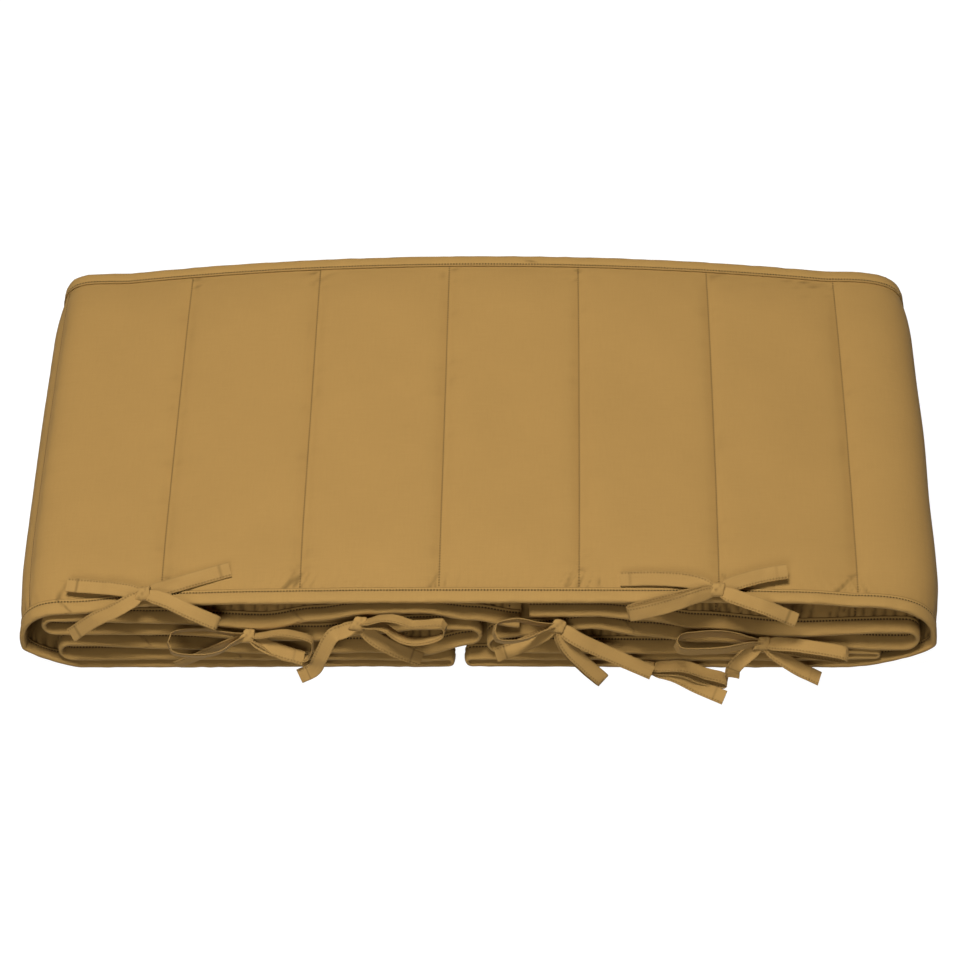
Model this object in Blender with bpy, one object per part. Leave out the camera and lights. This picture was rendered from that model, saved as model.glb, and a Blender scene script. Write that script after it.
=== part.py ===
"""Quilted crib bumper, folded flat, with its fabric ties tied in bows along the front edge.

The bumper is one long padded strip, sewn across into channels and bound round its edges. It lies
folded in six layers. The top layer spans the whole width and wraps down round both ends, and
under it each half of the strip goes back and forth between an outer fold and a centre fold.

+X runs along the folded strip, +Y to the back and +Z up. The origin is the middle of the
footprint, on the surface that the bumper lies on.

Sizes are in millimetres and become metres where a mesh is made.
"""

import math
from collections import namedtuple

import bmesh
import bpy
import numpy as np
from mathutils import Vector

MM = 0.001

# Driving dimensions of the flat strip
STRIP_LENGTH = 3597.0
ANCHOR_OFF_MIDDLE = -5.5
CHANNEL_PITCH = 93.3
SEAMS_EACH_WAY = 19
PAD_DEPTH = 300.0
CROWN_THICKNESS = 10.0
SEAM_THICKNESS = 3.6
EDGE_THICKNESS = 2.2
BINDING_WIDTH = 9.5
BINDING_CLOTH = 0.7
SEWN_GAP = 0.3

# How the strip is folded
FRONT_EDGE_Y = -150.0
ANCHOR_SEAM_X = -27.4
TOP_LEVEL = 5
BOTTOM_LINE = 4.0
TOP_LINE_MIDDLE = 75.0
TOP_LINE_END = 61.0
BACK_EDGE_LIFT = 4.0
ARCH_HALF_SPAN = 262.0
FRONT_DROOP_REACH = 80.0
FORWARD_LEAN = 5.0
FOLD_PINCH = 0.40
WRAP_PINCH = 0.15
PINCH_REACH = 13.0

# Heights of each layer's middle line at the front edge. A row is one layer of one half, and its
# columns are the distances from the strip's centre at which the height is given. The first column
# is past the centre, where the left half's free end hangs down.
STATIONS = (-27.0, 5.0, 40.0, 75.0, 110.0, 145.0, 210.0, 275.0)
LayerFront = namedtuple("LayerFront", "side level past at_5 at_40 at_75 at_110 at_145 at_210 at_275")
LAYER_FRONTS = (
    LayerFront("left", 5, 72.0, 72.0, 72.0, 72.0, 71.5, 71.0, 69.5, 60.0),
    LayerFront("left", 4, 46.0, 54.0, 61.5, 60.5, 53.0, 44.5, 50.5, 52.5),
    LayerFront("left", 3, 44.0, 44.0, 44.0, 39.0, 32.0, 32.5, 38.5, 38.5),
    LayerFront("left", 2, 28.5, 28.5, 16.5, 19.5, 18.5, 18.0, 23.5, 27.0),
    LayerFront("left", 1, 12.0, 12.0, 10.0, 11.5, 11.5, 11.5, 12.0, 11.0),
    LayerFront("left", 0, 5.0, 5.0, 4.0, 4.5, 4.0, 4.0, 3.5, 3.5),
    LayerFront("right", 5, 72.0, 72.0, 72.0, 72.0, 72.0, 72.5, 71.5, 65.5),
    LayerFront("right", 4, 57.0, 57.0, 57.5, 58.0, 54.0, 45.5, 36.5, 40.5),
    LayerFront("right", 3, 34.0, 34.0, 38.0, 45.0, 37.0, 31.0, 27.5, 22.0),
    LayerFront("right", 2, 19.0, 19.0, 19.0, 18.5, 18.0, 18.0, 19.5, 17.3),
    LayerFront("right", 1, 11.5, 11.5, 11.5, 11.5, 11.0, 11.0, 11.0, 12.5),
    LayerFront("right", 0, 4.5, 4.5, 4.5, 4.0, 3.8, 3.5, 3.5, 3.5),
)

# The folds in order along the strip, from its left free end to its right one. A fold's crest
# points to its own side's outside (out) or to the centre (in). bulge is how far the crest bows to
# the right at mid depth, and reach is the half length of a broad wrap (none for a tight fold, which
# is a half circle). crest_at is how far the crest is from the first layer to the second. box_from
# and box_to are the exponents of the outline before and after the crest: 2 is round. A wrap has
# them at the front edge, and WRAP_BOX_BEHIND behind the droop.
Fold = namedtuple(
    "Fold", "side crest from_level to_level x_front x_back bulge reach crest_at box_from box_to"
)
FOLDS = (
    Fold("left", "out", 4, 3, -292.5, -290.5, -1.0, None, 0.5, 2.0, 2.0),
    Fold("left", "in", 3, 2, -1.0, -6.0, 0.0, None, 0.5, 2.0, 2.0),
    Fold("left", "out", 2, 1, -285.0, -281.0, 0.0, None, 0.5, 2.0, 2.0),
    Fold("left", "in", 1, 0, -20.0, -20.0, 0.0, None, 0.5, 2.0, 2.0),
    Fold("left", "out", 0, 5, -309.0, -309.0, -1.0, 36.0, 0.34, 1.25, 2.6),
    Fold("right", "out", 5, 0, 305.0, 301.5, 2.0, 57.0, 0.64, 2.5, 1.45),
    Fold("right", "in", 0, 1, -10.0, -11.0, 0.0, None, 0.5, 2.0, 2.0),
    Fold("right", "out", 1, 2, 269.0, 271.0, 0.0, None, 0.5, 2.0, 2.0),
    Fold("right", "in", 2, 3, 5.0, 8.0, 0.0, None, 0.5, 2.0, 2.0),
    Fold("right", "out", 3, 4, 294.0, 288.0, 0.0, None, 0.5, 2.0, 2.0),
)
LEFT_WRAP = 4
WRAP_BOX_BEHIND = 3.4
FREE_RUN_LENGTH = 90.0
FIRST_REACH = 6.0
FOLD_FITS = 4
FOLD_STEPS = 48
RUN_STEP = 4.0

# Depths from the front edge at which the strip has a row of points
MESH_DEPTHS = (0.0, BINDING_WIDTH, 28.0, 65.0, 165.0, 272.0, PAD_DEPTH - BINDING_WIDTH, PAD_DEPTH)
REFERENCE_DEPTH = 150.0
LONGEST_STEP = 60.0
GENTLE_STEP = 24.0
GENTLE_TURN = math.radians(11.0)
SHARPEST_TURN = math.radians(24.0)
SEAM_SHOULDER = 17.0
CLOSEST_STATIONS = 5.0
EDGE_RISE = 40.0

# Order of the points round a section, for halving the cells between two sections
EDGE_FIRST = (1, 0, 0, 1) * 2
EDGE_LAST = (0, 1, 1, 0) * 2
RIBBON_ORDER = (0, 1, 1, 0)

# The ties. Each pair is tied in a bow: a knot, and ribbons that leave it as free tails or as
# loops. Points run outwards from the knot, along the middle of a loop. opening is how wide a loop
# stands open, and 0 for a tail. roll turns a ribbon from lying open towards the front and above
# (0 degrees) to standing on edge (90 degrees).
TIE_WIDTH = 10.0
TIE_CLOTH = 1.2
TIE_GATHER = 0.5
TIE_GATHER_REACH = 14.0
TIE_ROOT = 2.5
TIE_STEPS = 2
TIE_FACING = Vector((0.0, -0.58, 0.81))
KNOT_HALF_SIZE = (6.0, 4.0, 5.0)
KNOT_RINGS = 5
KNOT_SEGMENTS = 8
Knot = namedtuple("Knot", "bow x y z")
KNOTS = (
    Knot(1, -223.0, -147.0, 76.4),
    Knot(2, -156.0, -157.7, 43.0),
    Knot(3, -81.0, -155.8, 54.5),
    Knot(4, 51.0, -155.1, 51.0),
    Knot(5, 157.0, -147.0, 80.7),
    Knot(6, 189.0, -157.6, 34.0),
    Knot(7, 112.0, -159.9, 8.0),
)
Ribbon = namedtuple("Ribbon", "bow roll opening points")
RIBBONS = (
    Ribbon(1, -20.0, 0.0, ((-240, -141, 73.5), (-257, -137, 70.5), (-276, -134, 68.5))),
    Ribbon(1, 0.0, 0.0, ((-232, -154, 76.5), (-242, -158, 72.5), (-256, -160, 64.5), (-273, -161, 48.5))),
    Ribbon(1, 0.0, 0.0, ((-208, -141, 75.5), (-189, -134, 75.5), (-167, -127, 76.5))),
    Ribbon(1, 10.0, 5.0, ((-207, -153, 76.5), (-191, -159, 71.5), (-174, -161, 61.5))),
    Ribbon(2, 80.0, 18.0, ((-180, -165, 46), (-208, -167, 48))),
    Ribbon(2, 60.0, 0.0, ((-171, -161, 37), (-189, -163, 27), (-205, -164, 18))),
    Ribbon(2, 65.0, 18.0, ((-134, -162, 40), (-113, -162, 33))),
    Ribbon(2, 20.0, 0.0, ((-142, -164, 39), (-131, -166, 35), (-119, -167, 30))),
    Ribbon(3, 0.0, 0.0, ((-91, -160, 52), (-99, -164, 51), (-107, -171, 37), (-112, -173, 26), (-122, -174, 19))),
    Ribbon(3, 60.0, 13.0, ((-62, -161, 62), (-45, -165, 57), (-23, -164, 61))),
    Ribbon(3, 0.0, 0.0, ((-70, -162, 45), (-55, -166, 37), (-40, -168, 30))),
    Ribbon(4, 80.0, 14.0, ((28, -163, 57), (9, -165, 57))),
    Ribbon(4, 0.0, 0.0, ((37, -162, 46), (23, -165, 39), (10, -167, 34))),
    Ribbon(4, 0.0, 0.0, ((66, -162, 44), (90, -165, 29), (115, -169, 16))),
    Ribbon(4, 15.0, 5.0, ((58, -163, 37), (70, -168, 23), (82, -172, 11))),
    Ribbon(5, 0.0, 0.0, ((139, -139, 80), (116, -136, 79), (93, -136, 78))),
    Ribbon(5, 25.0, 8.0, ((138, -154, 82), (118, -158, 78), (98, -160, 72))),
    Ribbon(5, 0.0, 0.0, ((173, -140, 81), (189, -135, 81), (204, -132, 81))),
    Ribbon(5, 0.0, 0.0, ((169, -153, 81), (189, -158, 76), (210, -160, 64))),
    Ribbon(6, 65.0, 13.0, ((162, -162, 42), (130, -165, 44))),
    Ribbon(6, 0.0, 0.0, ((177, -164, 27), (170, -168, 20), (169, -170, 12))),
    Ribbon(6, 25.0, 8.0, ((212, -163, 37), (246, -166, 32))),
    Ribbon(6, 20.0, 0.0, ((200, -164, 28), (213, -169, 21), (228, -172, 13))),
    Ribbon(7, 0.0, 0.0, ((130, -166, 9), (146, -172, 4), (164, -181, 3.5))),
    Ribbon(7, 40.0, 6.0, ((136, -164, 13), (150, -167, 9), (166, -170, 7))),
)
LOOP_SHOULDER = 0.6
LOOP_ROOT_OPENING = 2.6

CLOTH_COLOUR = (0.42, 0.25, 0.075, 1.0)
BINDING_COLOUR = (0.45, 0.275, 0.085, 1.0)
TIE_COLOUR = (0.44, 0.265, 0.08, 1.0)
CLOTH_ROUGHNESS = 0.9


def smooth(t):
    """Ease from 0 to 1 with level ends."""
    t = min(max(t, 0.0), 1.0)
    return t * t * (3.0 - 2.0 * t)


def front_line(side, level, x):
    """Height of a layer's middle line at the front edge."""
    heights = next(row[2:] for row in LAYER_FRONTS if row.side == side and row.level == level)
    distance = -x if side == "left" else x
    for i in range(len(STATIONS) - 1):
        if distance <= STATIONS[i + 1]:
            t = (distance - STATIONS[i]) / (STATIONS[i + 1] - STATIONS[i])
            return heights[i] + (heights[i + 1] - heights[i]) * smooth(t)
    return heights[-1]


def body_line(level, x, depth):
    """Height of a layer's middle line behind the droop of the front edge."""
    arch = 1.0 - min(abs(x) / ARCH_HALF_SPAN, 1.0) ** 2
    lift = BACK_EDGE_LIFT * smooth(2.0 * depth / PAD_DEPTH - 1.0)
    top = TOP_LINE_END + (TOP_LINE_MIDDLE - TOP_LINE_END + lift) * arch
    return BOTTOM_LINE + (top - BOTTOM_LINE) * level / TOP_LEVEL


def droop(depth):
    """Share of the front edge's own shape at a depth, from 1 to 0."""
    return max(0.0, 1.0 - depth / FRONT_DROOP_REACH) ** 2


def layer_line(side, level, x, depth):
    """Height of a layer's middle line anywhere."""
    body = body_line(level, x, depth)
    return body + (front_line(side, level, x) - body) * droop(depth)


def fold_points(fold, depth):
    """Middle line of one fold from its first layer to its second, as (x, z) points."""
    t = depth / PAD_DEPTH
    crest = fold.x_front + (fold.x_back - fold.x_front) * t + fold.bulge * 4.0 * t * (1.0 - t)
    points_right = (fold.side == "right") == (fold.crest == "out")
    way = 1.0 if points_right else -1.0
    reach = fold.reach or FIRST_REACH
    for _ in range(FOLD_FITS):
        x_mid = crest - way * reach
        z_from = layer_line(fold.side, fold.from_level, x_mid, depth)
        z_to = layer_line(fold.side, fold.to_level, x_mid, depth)
        reach = fold.reach or abs(z_to - z_from) / 2.0
    z_crest = z_from + (z_to - z_from) * fold.crest_at
    points = []
    for i in range(FOLD_STEPS + 1):
        angle = math.pi * (i / FOLD_STEPS - 0.5)
        z_end, box = (z_from, fold.box_from) if angle < 0.0 else (z_to, fold.box_to)
        if fold.reach:
            box = WRAP_BOX_BEHIND + (box - WRAP_BOX_BEHIND) * droop(depth)
        out = abs(math.cos(angle)) ** (2.0 / box)
        up = abs(math.sin(angle)) ** (2.0 / box)
        points.append((x_mid + way * reach * out, z_crest + (z_end - z_crest) * up))
    return points


def run_points(side, level, x_from, x_to, depth):
    """Middle line of a layer between two folds, without its two ends."""
    count = max(2, int(abs(x_to - x_from) / RUN_STEP))
    points = []
    for i in range(1, count):
        x = x_from + (x_to - x_from) * i / count
        here = side or ("left" if x < 0.0 else "right")
        points.append((x, layer_line(here, level, x, depth)))
    return points


class StripRow:
    """The strip's middle line at one depth, measured along the strip from the anchor seam.

    Every row has its anchor seam, its fold crests and its ends at the same places along the strip
    as the reference row.
    """

    def __init__(self, depth, reference=None):
        folds = [fold_points(fold, depth) for fold in FOLDS]
        points = run_points("left", FOLDS[0].from_level, FREE_RUN_LENGTH, folds[0][0][0], depth)
        crests = []
        for i, fold in enumerate(folds):
            crests.append(len(points) + FOLD_STEPS // 2)
            points += fold
            if i + 1 < len(folds):
                side = None if i == LEFT_WRAP else FOLDS[i].side
                points += run_points(side, FOLDS[i].to_level, fold[-1][0], folds[i + 1][0][0], depth)
        points += run_points("right", FOLDS[-1].to_level, folds[-1][-1][0], -FREE_RUN_LENGTH, depth)
        self.points = np.array(points)
        steps = np.hypot(*np.diff(self.points, axis=0).T)
        along = np.concatenate([[0.0], np.cumsum(steps)])
        top = slice(crests[LEFT_WRAP], crests[LEFT_WRAP + 1])
        along -= np.interp(ANCHOR_SEAM_X, self.points[top, 0], along[top])
        self.crests = along[crests]
        if reference:
            own = [along[0], *self.crests, along[-1]]
            target = [reference.along[0], *reference.crests, reference.along[-1]]
            own.insert(LEFT_WRAP + 2, 0.0)
            target.insert(LEFT_WRAP + 2, 0.0)
            along = np.interp(along, own, target)
            self.crests = reference.crests
        self.along = along
        tangents = np.gradient(self.points, axis=0)
        tangents /= np.hypot(tangents[:, 0], tangents[:, 1])[:, None]
        self.tangents = tangents
        self.depth = depth

    def at(self, s):
        """Middle point (x, z) and tangent (x, z) at one place along the strip."""
        point = [float(np.interp(s, self.along, self.points[:, k])) for k in (0, 1)]
        tangent = np.array([np.interp(s, self.along, self.tangents[:, k]) for k in (0, 1)])
        return point, tangent / np.hypot(*tangent)


def strip_ends():
    """Places of the two free ends along the strip."""
    middle = -ANCHOR_OFF_MIDDLE
    return middle - STRIP_LENGTH / 2.0, middle + STRIP_LENGTH / 2.0


def edge_rise(distance):
    """How far the filling has risen at a distance from a bound edge, from 0 to 1."""
    t = min(max((distance - BINDING_WIDTH) / EDGE_RISE, 0.0), 1.0)
    return 1.0 - (1.0 - t) ** 2


def half_thickness(s, depth, crests):
    """Half the padding's thickness at one place."""
    first, last = strip_ends()
    across = math.sqrt(abs(math.sin(math.pi * s / CHANNEL_PITCH)))
    crown = SEAM_THICKNESS + (CROWN_THICKNESS - SEAM_THICKNESS) * across
    rise = min(edge_rise(depth), edge_rise(PAD_DEPTH - depth), edge_rise(s - first), edge_rise(last - s))
    thickness = EDGE_THICKNESS + (crown - EDGE_THICKNESS) * rise
    for i, crest in enumerate(crests):
        pinch = WRAP_PINCH if FOLDS[i].reach else FOLD_PINCH
        thickness *= 1.0 - pinch * math.exp(-(((s - crest) / PINCH_REACH) ** 2))
    return thickness / 2.0


def turning_places(row):
    """Places along one row where its middle line has turned or run on far enough for a point."""
    first, last = strip_ends()
    heading = np.unwrap(np.arctan2(row.tangents[:, 1], row.tangents[:, 0]))
    places = [first]
    faced = np.interp(first, row.along, heading)
    for s, h in zip(row.along, heading):
        gone = s - places[-1]
        turned = abs(h - faced)
        bend = turned > SHARPEST_TURN or (turned > GENTLE_TURN and gone > GENTLE_STEP)
        if first < s < last and (bend or gone > LONGEST_STEP):
            places.append(s)
            faced = h
    return places[1:]


def stations_along(reference, edge):
    """Places along the strip for the mesh: seams, their shoulders, and turns of two of its rows."""
    first, last = strip_ends()
    kept = [first, first + BINDING_WIDTH, last - BINDING_WIDTH, last]
    seams = [k * CHANNEL_PITCH for k in range(-SEAMS_EACH_WAY, SEAMS_EACH_WAY + 1)]
    kept += seams
    kept += list(reference.crests)
    extra = []
    for seam in seams:
        extra += [seam - SEAM_SHOULDER, seam + SEAM_SHOULDER]
    extra += turning_places(reference) + turning_places(edge)
    for s in extra:
        if min(abs(s - k) for k in kept) > CLOSEST_STATIONS:
            kept.append(s)
    return sorted(kept)


def place(row, s, offset, forward=0.0, along=0.0, floor=0.0):
    """A point off the strip's middle line: offset along its normal, forward of it, and along it."""
    (x, z), tangent = row.at(s)
    x += -tangent[1] * offset + tangent[0] * along
    z += tangent[0] * offset + tangent[1] * along
    lean = FORWARD_LEAN * (1.0 - min(z / TOP_LINE_MIDDLE, 1.0))
    return Vector((x, FRONT_EDGE_Y + row.depth - lean - forward, max(z, floor)))


def new_object(name, mesh_data, colour):
    """Make a named object of a bmesh in millimetres, with its own material."""
    bmesh.ops.scale(mesh_data, vec=(MM, MM, MM), verts=mesh_data.verts)
    bmesh.ops.recalc_face_normals(mesh_data, faces=mesh_data.faces)
    mesh = bpy.data.meshes.new(name)
    mesh_data.to_mesh(mesh)
    mesh_data.free()
    material = bpy.data.materials.new(name + "_cloth")
    material.use_nodes = True
    shader = material.node_tree.nodes["Principled BSDF"]
    shader.inputs["Base Color"].default_value = colour
    shader.inputs["Roughness"].default_value = CLOTH_ROUGHNESS
    shader.inputs["Metallic"].default_value = 0.0
    mesh.materials.append(material)
    made = bpy.data.objects.new(name, mesh)
    bpy.context.collection.objects.link(made)
    return made


def loft(rings, order):
    """Closed bmesh through rings of points, each ring running out and back along a flat section.

    A cell is halved from its point of lower order to its far point of higher order, so that skins
    that face each other are halved alike and keep their gap.
    """
    bm = bmesh.new()
    made = [[bm.verts.new(p) for p in ring] for ring in rings]
    for a, b in zip(made, made[1:]):
        for i in range(len(a)):
            j = (i + 1) % len(a)
            if order[i] <= order[j]:
                bm.faces.new((a[i], a[j], b[j]))
                bm.faces.new((a[i], b[j], b[i]))
            else:
                bm.faces.new((a[i], a[j], b[i]))
                bm.faces.new((a[j], b[j], b[i]))
    for end in (made[0], made[-1]):
        for i in range(len(end) // 2 - 1):
            bm.faces.new((end[i], end[i + 1], end[-2 - i], end[-1 - i]))
    return bm


def make_pad(rows, stations):
    """The quilted panel: a ring of upper and lower points at each place along the strip."""
    rings = []
    for s in stations:
        halves = [half_thickness(s, row.depth, row.crests) for row in rows]
        upper = [place(row, s, h) for row, h in zip(rows, halves)]
        lower = [place(row, s, -h) for row, h in zip(rows, halves)]
        rings.append(upper + lower[::-1])
    order = list(range(len(rows)))
    return new_object("pad", loft(rings, order + order[::-1]), CLOTH_COLOUR)


def make_long_binding(name, rows, stations, way):
    """A strip folded over a long edge. way is 1 at the front edge and -1 at the back one."""
    edge, inner = rows
    rings = []
    for s in stations:
        ring = []
        for gap in (SEWN_GAP + BINDING_CLOTH, SEWN_GAP):
            at_edge = half_thickness(s, edge.depth, edge.crests) + gap
            at_inner = half_thickness(s, inner.depth, inner.crests) + gap
            turn = [
                place(inner, s, at_inner),
                place(edge, s, at_edge, forward=way * gap),
                place(edge, s, -at_edge, forward=way * gap),
                place(inner, s, -at_inner),
            ]
            ring += turn if gap > SEWN_GAP else turn[::-1]
        rings.append(ring)
    order = EDGE_FIRST if way > 0 else EDGE_LAST
    return new_object(name, loft(rings, order), BINDING_COLOUR)


def make_end_binding(name, rows, s_edge, way):
    """A strip folded over a free end. way is 1 where the strip runs on towards greater places."""
    s_inner = s_edge + way * BINDING_WIDTH
    rings = []
    for row in rows:
        ring = []
        for gap in (SEWN_GAP + BINDING_CLOTH, SEWN_GAP):
            at_edge = half_thickness(s_edge, row.depth, row.crests) + gap
            at_inner = half_thickness(s_inner, row.depth, row.crests) + gap
            turn = [
                place(row, s_inner, at_inner),
                place(row, s_edge, at_edge, along=-way * gap),
                place(row, s_edge, -at_edge, along=-way * gap),
                place(row, s_inner, -at_inner),
            ]
            ring += turn if gap > SEWN_GAP else turn[::-1]
        rings.append(ring)
    order = EDGE_FIRST if way > 0 else EDGE_LAST
    return new_object(name, loft(rings, order), BINDING_COLOUR)


def smooth_route(points):
    """Points of a smooth curve through a ribbon's own points."""
    padded = [2 * points[0] - points[1]] + points + [2 * points[-1] - points[-2]]
    route = []
    for a, b, c, d in zip(padded, padded[1:], padded[2:], padded[3:]):
        for i in range(TIE_STEPS):
            t = i / TIE_STEPS
            bend = (2 * a - 5 * b + 4 * c - d) * t**2 + (3 * b - a - 3 * c + d) * t**3
            route.append(b + ((c - a) * t + bend) / 2)
    return route + [points[-1]]


def tangent_at(route, i):
    """Direction of a route at one of its points."""
    return (route[min(i + 1, len(route) - 1)] - route[max(i - 1, 0)]).normalized()


def turned_across(direction, roll):
    """Width direction of a ribbon that runs in one direction, turned by its roll."""
    level = direction.cross(TIE_FACING).normalized()
    facing = level.cross(direction)
    return level * math.cos(math.radians(roll)) + facing * math.sin(math.radians(roll))


def loop_route(middle, across, opening):
    """Points out along one side of a loop's middle line, round its tip and back on the other."""
    out = []
    back = []
    count = len(middle) - 1
    for i, point in enumerate(middle[:-1]):
        t = i / count
        if t < LOOP_SHOULDER:
            half = LOOP_ROOT_OPENING + (opening - LOOP_ROOT_OPENING) * smooth(t / LOOP_SHOULDER)
        else:
            half = opening * math.sqrt(1.0 - ((t - LOOP_SHOULDER) / (1.0 - LOOP_SHOULDER)) ** 2)
        aside = across.cross(tangent_at(middle, i)).normalized() * half / 2.0
        out.append(point + aside)
        back.append(point - aside)
    return out + [middle[-1]] + back[::-1]


def ribbon_rings(knot, ribbon):
    """Sections of one flat ribbon, gathered narrow where it goes into the knot."""
    centre = Vector(knot[1:])
    points = [Vector(p) for p in ribbon.points]
    root = centre + (points[0] - centre).normalized() * TIE_ROOT
    route = smooth_route([root] + points)
    fixed_across = None
    if ribbon.opening:
        fixed_across = turned_across((points[-1] - centre).normalized(), ribbon.roll)
        route = loop_route(route, fixed_across, ribbon.opening)
    rings = []
    for i, point in enumerate(route):
        tangent = tangent_at(route, i)
        across = fixed_across or turned_across(tangent, ribbon.roll)
        normal = tangent.cross(across).normalized()
        gathered = TIE_GATHER + (1.0 - TIE_GATHER) * smooth((point - centre).length / TIE_GATHER_REACH)
        w = normal.cross(tangent) * TIE_WIDTH * gathered / 2.0
        n = normal * TIE_CLOTH / 2.0
        rings.append([point - w + n, point + w + n, point + w - n, point - w - n])
    return rings


def knot_mesh(knot):
    """The rounded knot of a bow."""
    bm = bmesh.new()
    bmesh.ops.create_uvsphere(bm, u_segments=KNOT_SEGMENTS, v_segments=KNOT_RINGS, radius=1.0)
    for v in bm.verts:
        v.co = Vector(c * size for c, size in zip(v.co, KNOT_HALF_SIZE)) + Vector(knot[1:])
    return bm


def make_bow(knot):
    """One tied pair of ties: the knot united with its loops and tails."""
    bow = new_object(f"tie_bow_{knot.bow}", knot_mesh(knot), TIE_COLOUR)
    for ribbon in RIBBONS:
        if ribbon.bow == knot.bow:
            strand = new_object("strand", loft(ribbon_rings(knot, ribbon), RIBBON_ORDER), TIE_COLOUR)
            union = bow.modifiers.new("tied in", "BOOLEAN")
            union.operation = "UNION"
            union.solver = "MANIFOLD"
            union.object = strand
            bpy.context.view_layer.update()
            tied = bpy.data.meshes.new_from_object(bow.evaluated_get(bpy.context.evaluated_depsgraph_get()))
            bow.modifiers.remove(union)
            bow.data = tied
            bpy.data.objects.remove(strand, do_unlink=True)
    return bow


def clear_scene():
    """Remove whatever the opened file holds."""
    for found in list(bpy.data.objects):
        bpy.data.objects.remove(found, do_unlink=True)


def centre_on_footprint(pieces):
    """Hang the pieces on an empty that puts the middle of their footprint on the origin."""
    corners = [v.co for piece in pieces for v in piece.data.vertices]
    middle = [(min(c[k] for c in corners) + max(c[k] for c in corners)) / 2.0 for k in (0, 1)]
    holder = bpy.data.objects.new("crib_bumper", None)
    bpy.context.collection.objects.link(holder)
    holder.location = (-middle[0], -middle[1], 0.0)
    for piece in pieces:
        piece.parent = holder


def main():
    clear_scene()
    reference = StripRow(REFERENCE_DEPTH)
    rows = [StripRow(depth, reference) for depth in MESH_DEPTHS]
    stations = stations_along(reference, rows[0])
    first, last = strip_ends()
    inset = BINDING_WIDTH + SEWN_GAP
    end_depths = [inset, *MESH_DEPTHS[2:-2], PAD_DEPTH - inset]
    end_rows = [StripRow(depth, reference) for depth in end_depths]
    pieces = [
        make_pad(rows, stations),
        make_long_binding("binding_front", rows[:2], stations, 1.0),
        make_long_binding("binding_back", rows[:-3:-1], stations, -1.0),
        make_end_binding("binding_end_left", end_rows, first, 1.0),
        make_end_binding("binding_end_right", end_rows, last, -1.0),
    ]
    pieces += [make_bow(knot) for knot in KNOTS]
    centre_on_footprint(pieces)


main()
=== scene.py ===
"""The looks of the folded crib bumper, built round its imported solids.

The quilted strip, its bindings, its stitches and its tied bows are laid on the same middle surface
as the solids: a strip that is measured along s and by its depth from the tied front edge, and that
folds back and forth. Lengths are in millimetres until a mesh is made.
"""

import math
from collections import namedtuple

import bpy
import numpy as np
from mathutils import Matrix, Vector


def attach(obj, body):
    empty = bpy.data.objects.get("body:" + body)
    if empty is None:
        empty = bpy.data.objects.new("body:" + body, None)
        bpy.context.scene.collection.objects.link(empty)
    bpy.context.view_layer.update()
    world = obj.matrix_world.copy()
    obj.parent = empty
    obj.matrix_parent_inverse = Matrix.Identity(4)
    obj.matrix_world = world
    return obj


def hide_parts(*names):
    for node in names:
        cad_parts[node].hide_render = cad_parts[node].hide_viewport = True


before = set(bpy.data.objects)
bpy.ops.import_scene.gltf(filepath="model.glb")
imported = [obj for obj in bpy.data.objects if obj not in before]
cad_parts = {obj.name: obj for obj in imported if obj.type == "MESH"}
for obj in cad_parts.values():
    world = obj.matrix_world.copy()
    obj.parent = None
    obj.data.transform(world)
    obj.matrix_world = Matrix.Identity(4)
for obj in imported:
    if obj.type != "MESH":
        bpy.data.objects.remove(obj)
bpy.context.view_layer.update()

MM = 0.001

# The flat strip
STRIP_LENGTH = 3597.0
CHANNEL_PITCH = 93.3
SEAMS_EACH_WAY = 19
ANCHOR_OFF_MIDDLE = -5.5
FIRST_END = -ANCHOR_OFF_MIDDLE - STRIP_LENGTH / 2.0
LAST_END = -ANCHOR_OFF_MIDDLE + STRIP_LENGTH / 2.0
PAD_DEPTH = 300.0
CROWN_THICKNESS = 10.0
SEAM_THICKNESS = 3.6
SEAM_SEAT = 0.8
BANK_SHARE = 0.7
BANK_WIDTH = 3.4
EDGE_THICKNESS = 2.2
EDGE_RISE = 40.0
BINDING_WIDTH = 9.5

# How the strip is folded, as in the solids
FRONT_EDGE_Y = -150.0
ANCHOR_SEAM_X = -27.4
TOP_LEVEL = 5
BOTTOM_LINE = 4.0
TOP_LINE_MIDDLE = 75.0
TOP_LINE_END = 61.0
BACK_EDGE_LIFT = 4.0
ARCH_HALF_SPAN = 262.0
FRONT_DROOP_REACH = 80.0
FORWARD_LEAN = 5.0
FOLD_PINCH = 0.40
WRAP_PINCH = 0.15
PINCH_REACH = 13.0

# Heights of each layer's middle line at the front edge, from the lowest layer up, at these
# distances from the centre. The first is past it, where the left half's free end hangs down.
STATIONS = np.array((-27, 5, 40, 75, 110, 145, 210, 275))
LAYER_FRONTS = {
    "left": (
        (5, 5, 4, 4.5, 4, 4, 3.5, 3.5),
        (12, 12, 10, 11.5, 11.5, 11.5, 12, 11),
        (28.5, 28.5, 16.5, 19.5, 18.5, 18, 23.5, 27),
        (44, 44, 44, 39, 32, 32.5, 38.5, 38.5),
        (46, 54, 61.5, 60.5, 53, 44.5, 50.5, 52.5),
        (72, 72, 72, 72, 71.5, 71, 69.5, 60),
    ),
    "right": (
        (4.5, 4.5, 4.5, 4, 3.8, 3.5, 3.5, 3.5),
        (11.5, 11.5, 11.5, 11.5, 11, 11, 11, 12.5),
        (19, 19, 19, 18.5, 18, 18, 19.5, 17.3),
        (34, 34, 38, 45, 37, 31, 27.5, 22),
        (57, 57, 57.5, 58, 54, 45.5, 36.5, 40.5),
        (72, 72, 72, 72, 72, 72.5, 71.5, 65.5),
    ),
}
Fold = namedtuple(
    "Fold",
    "side crest from_level to_level x_front x_back bulge reach crest_at box_from box_to",
    defaults=(0.0, None, 0.5, 2.0, 2.0),
)
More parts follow.
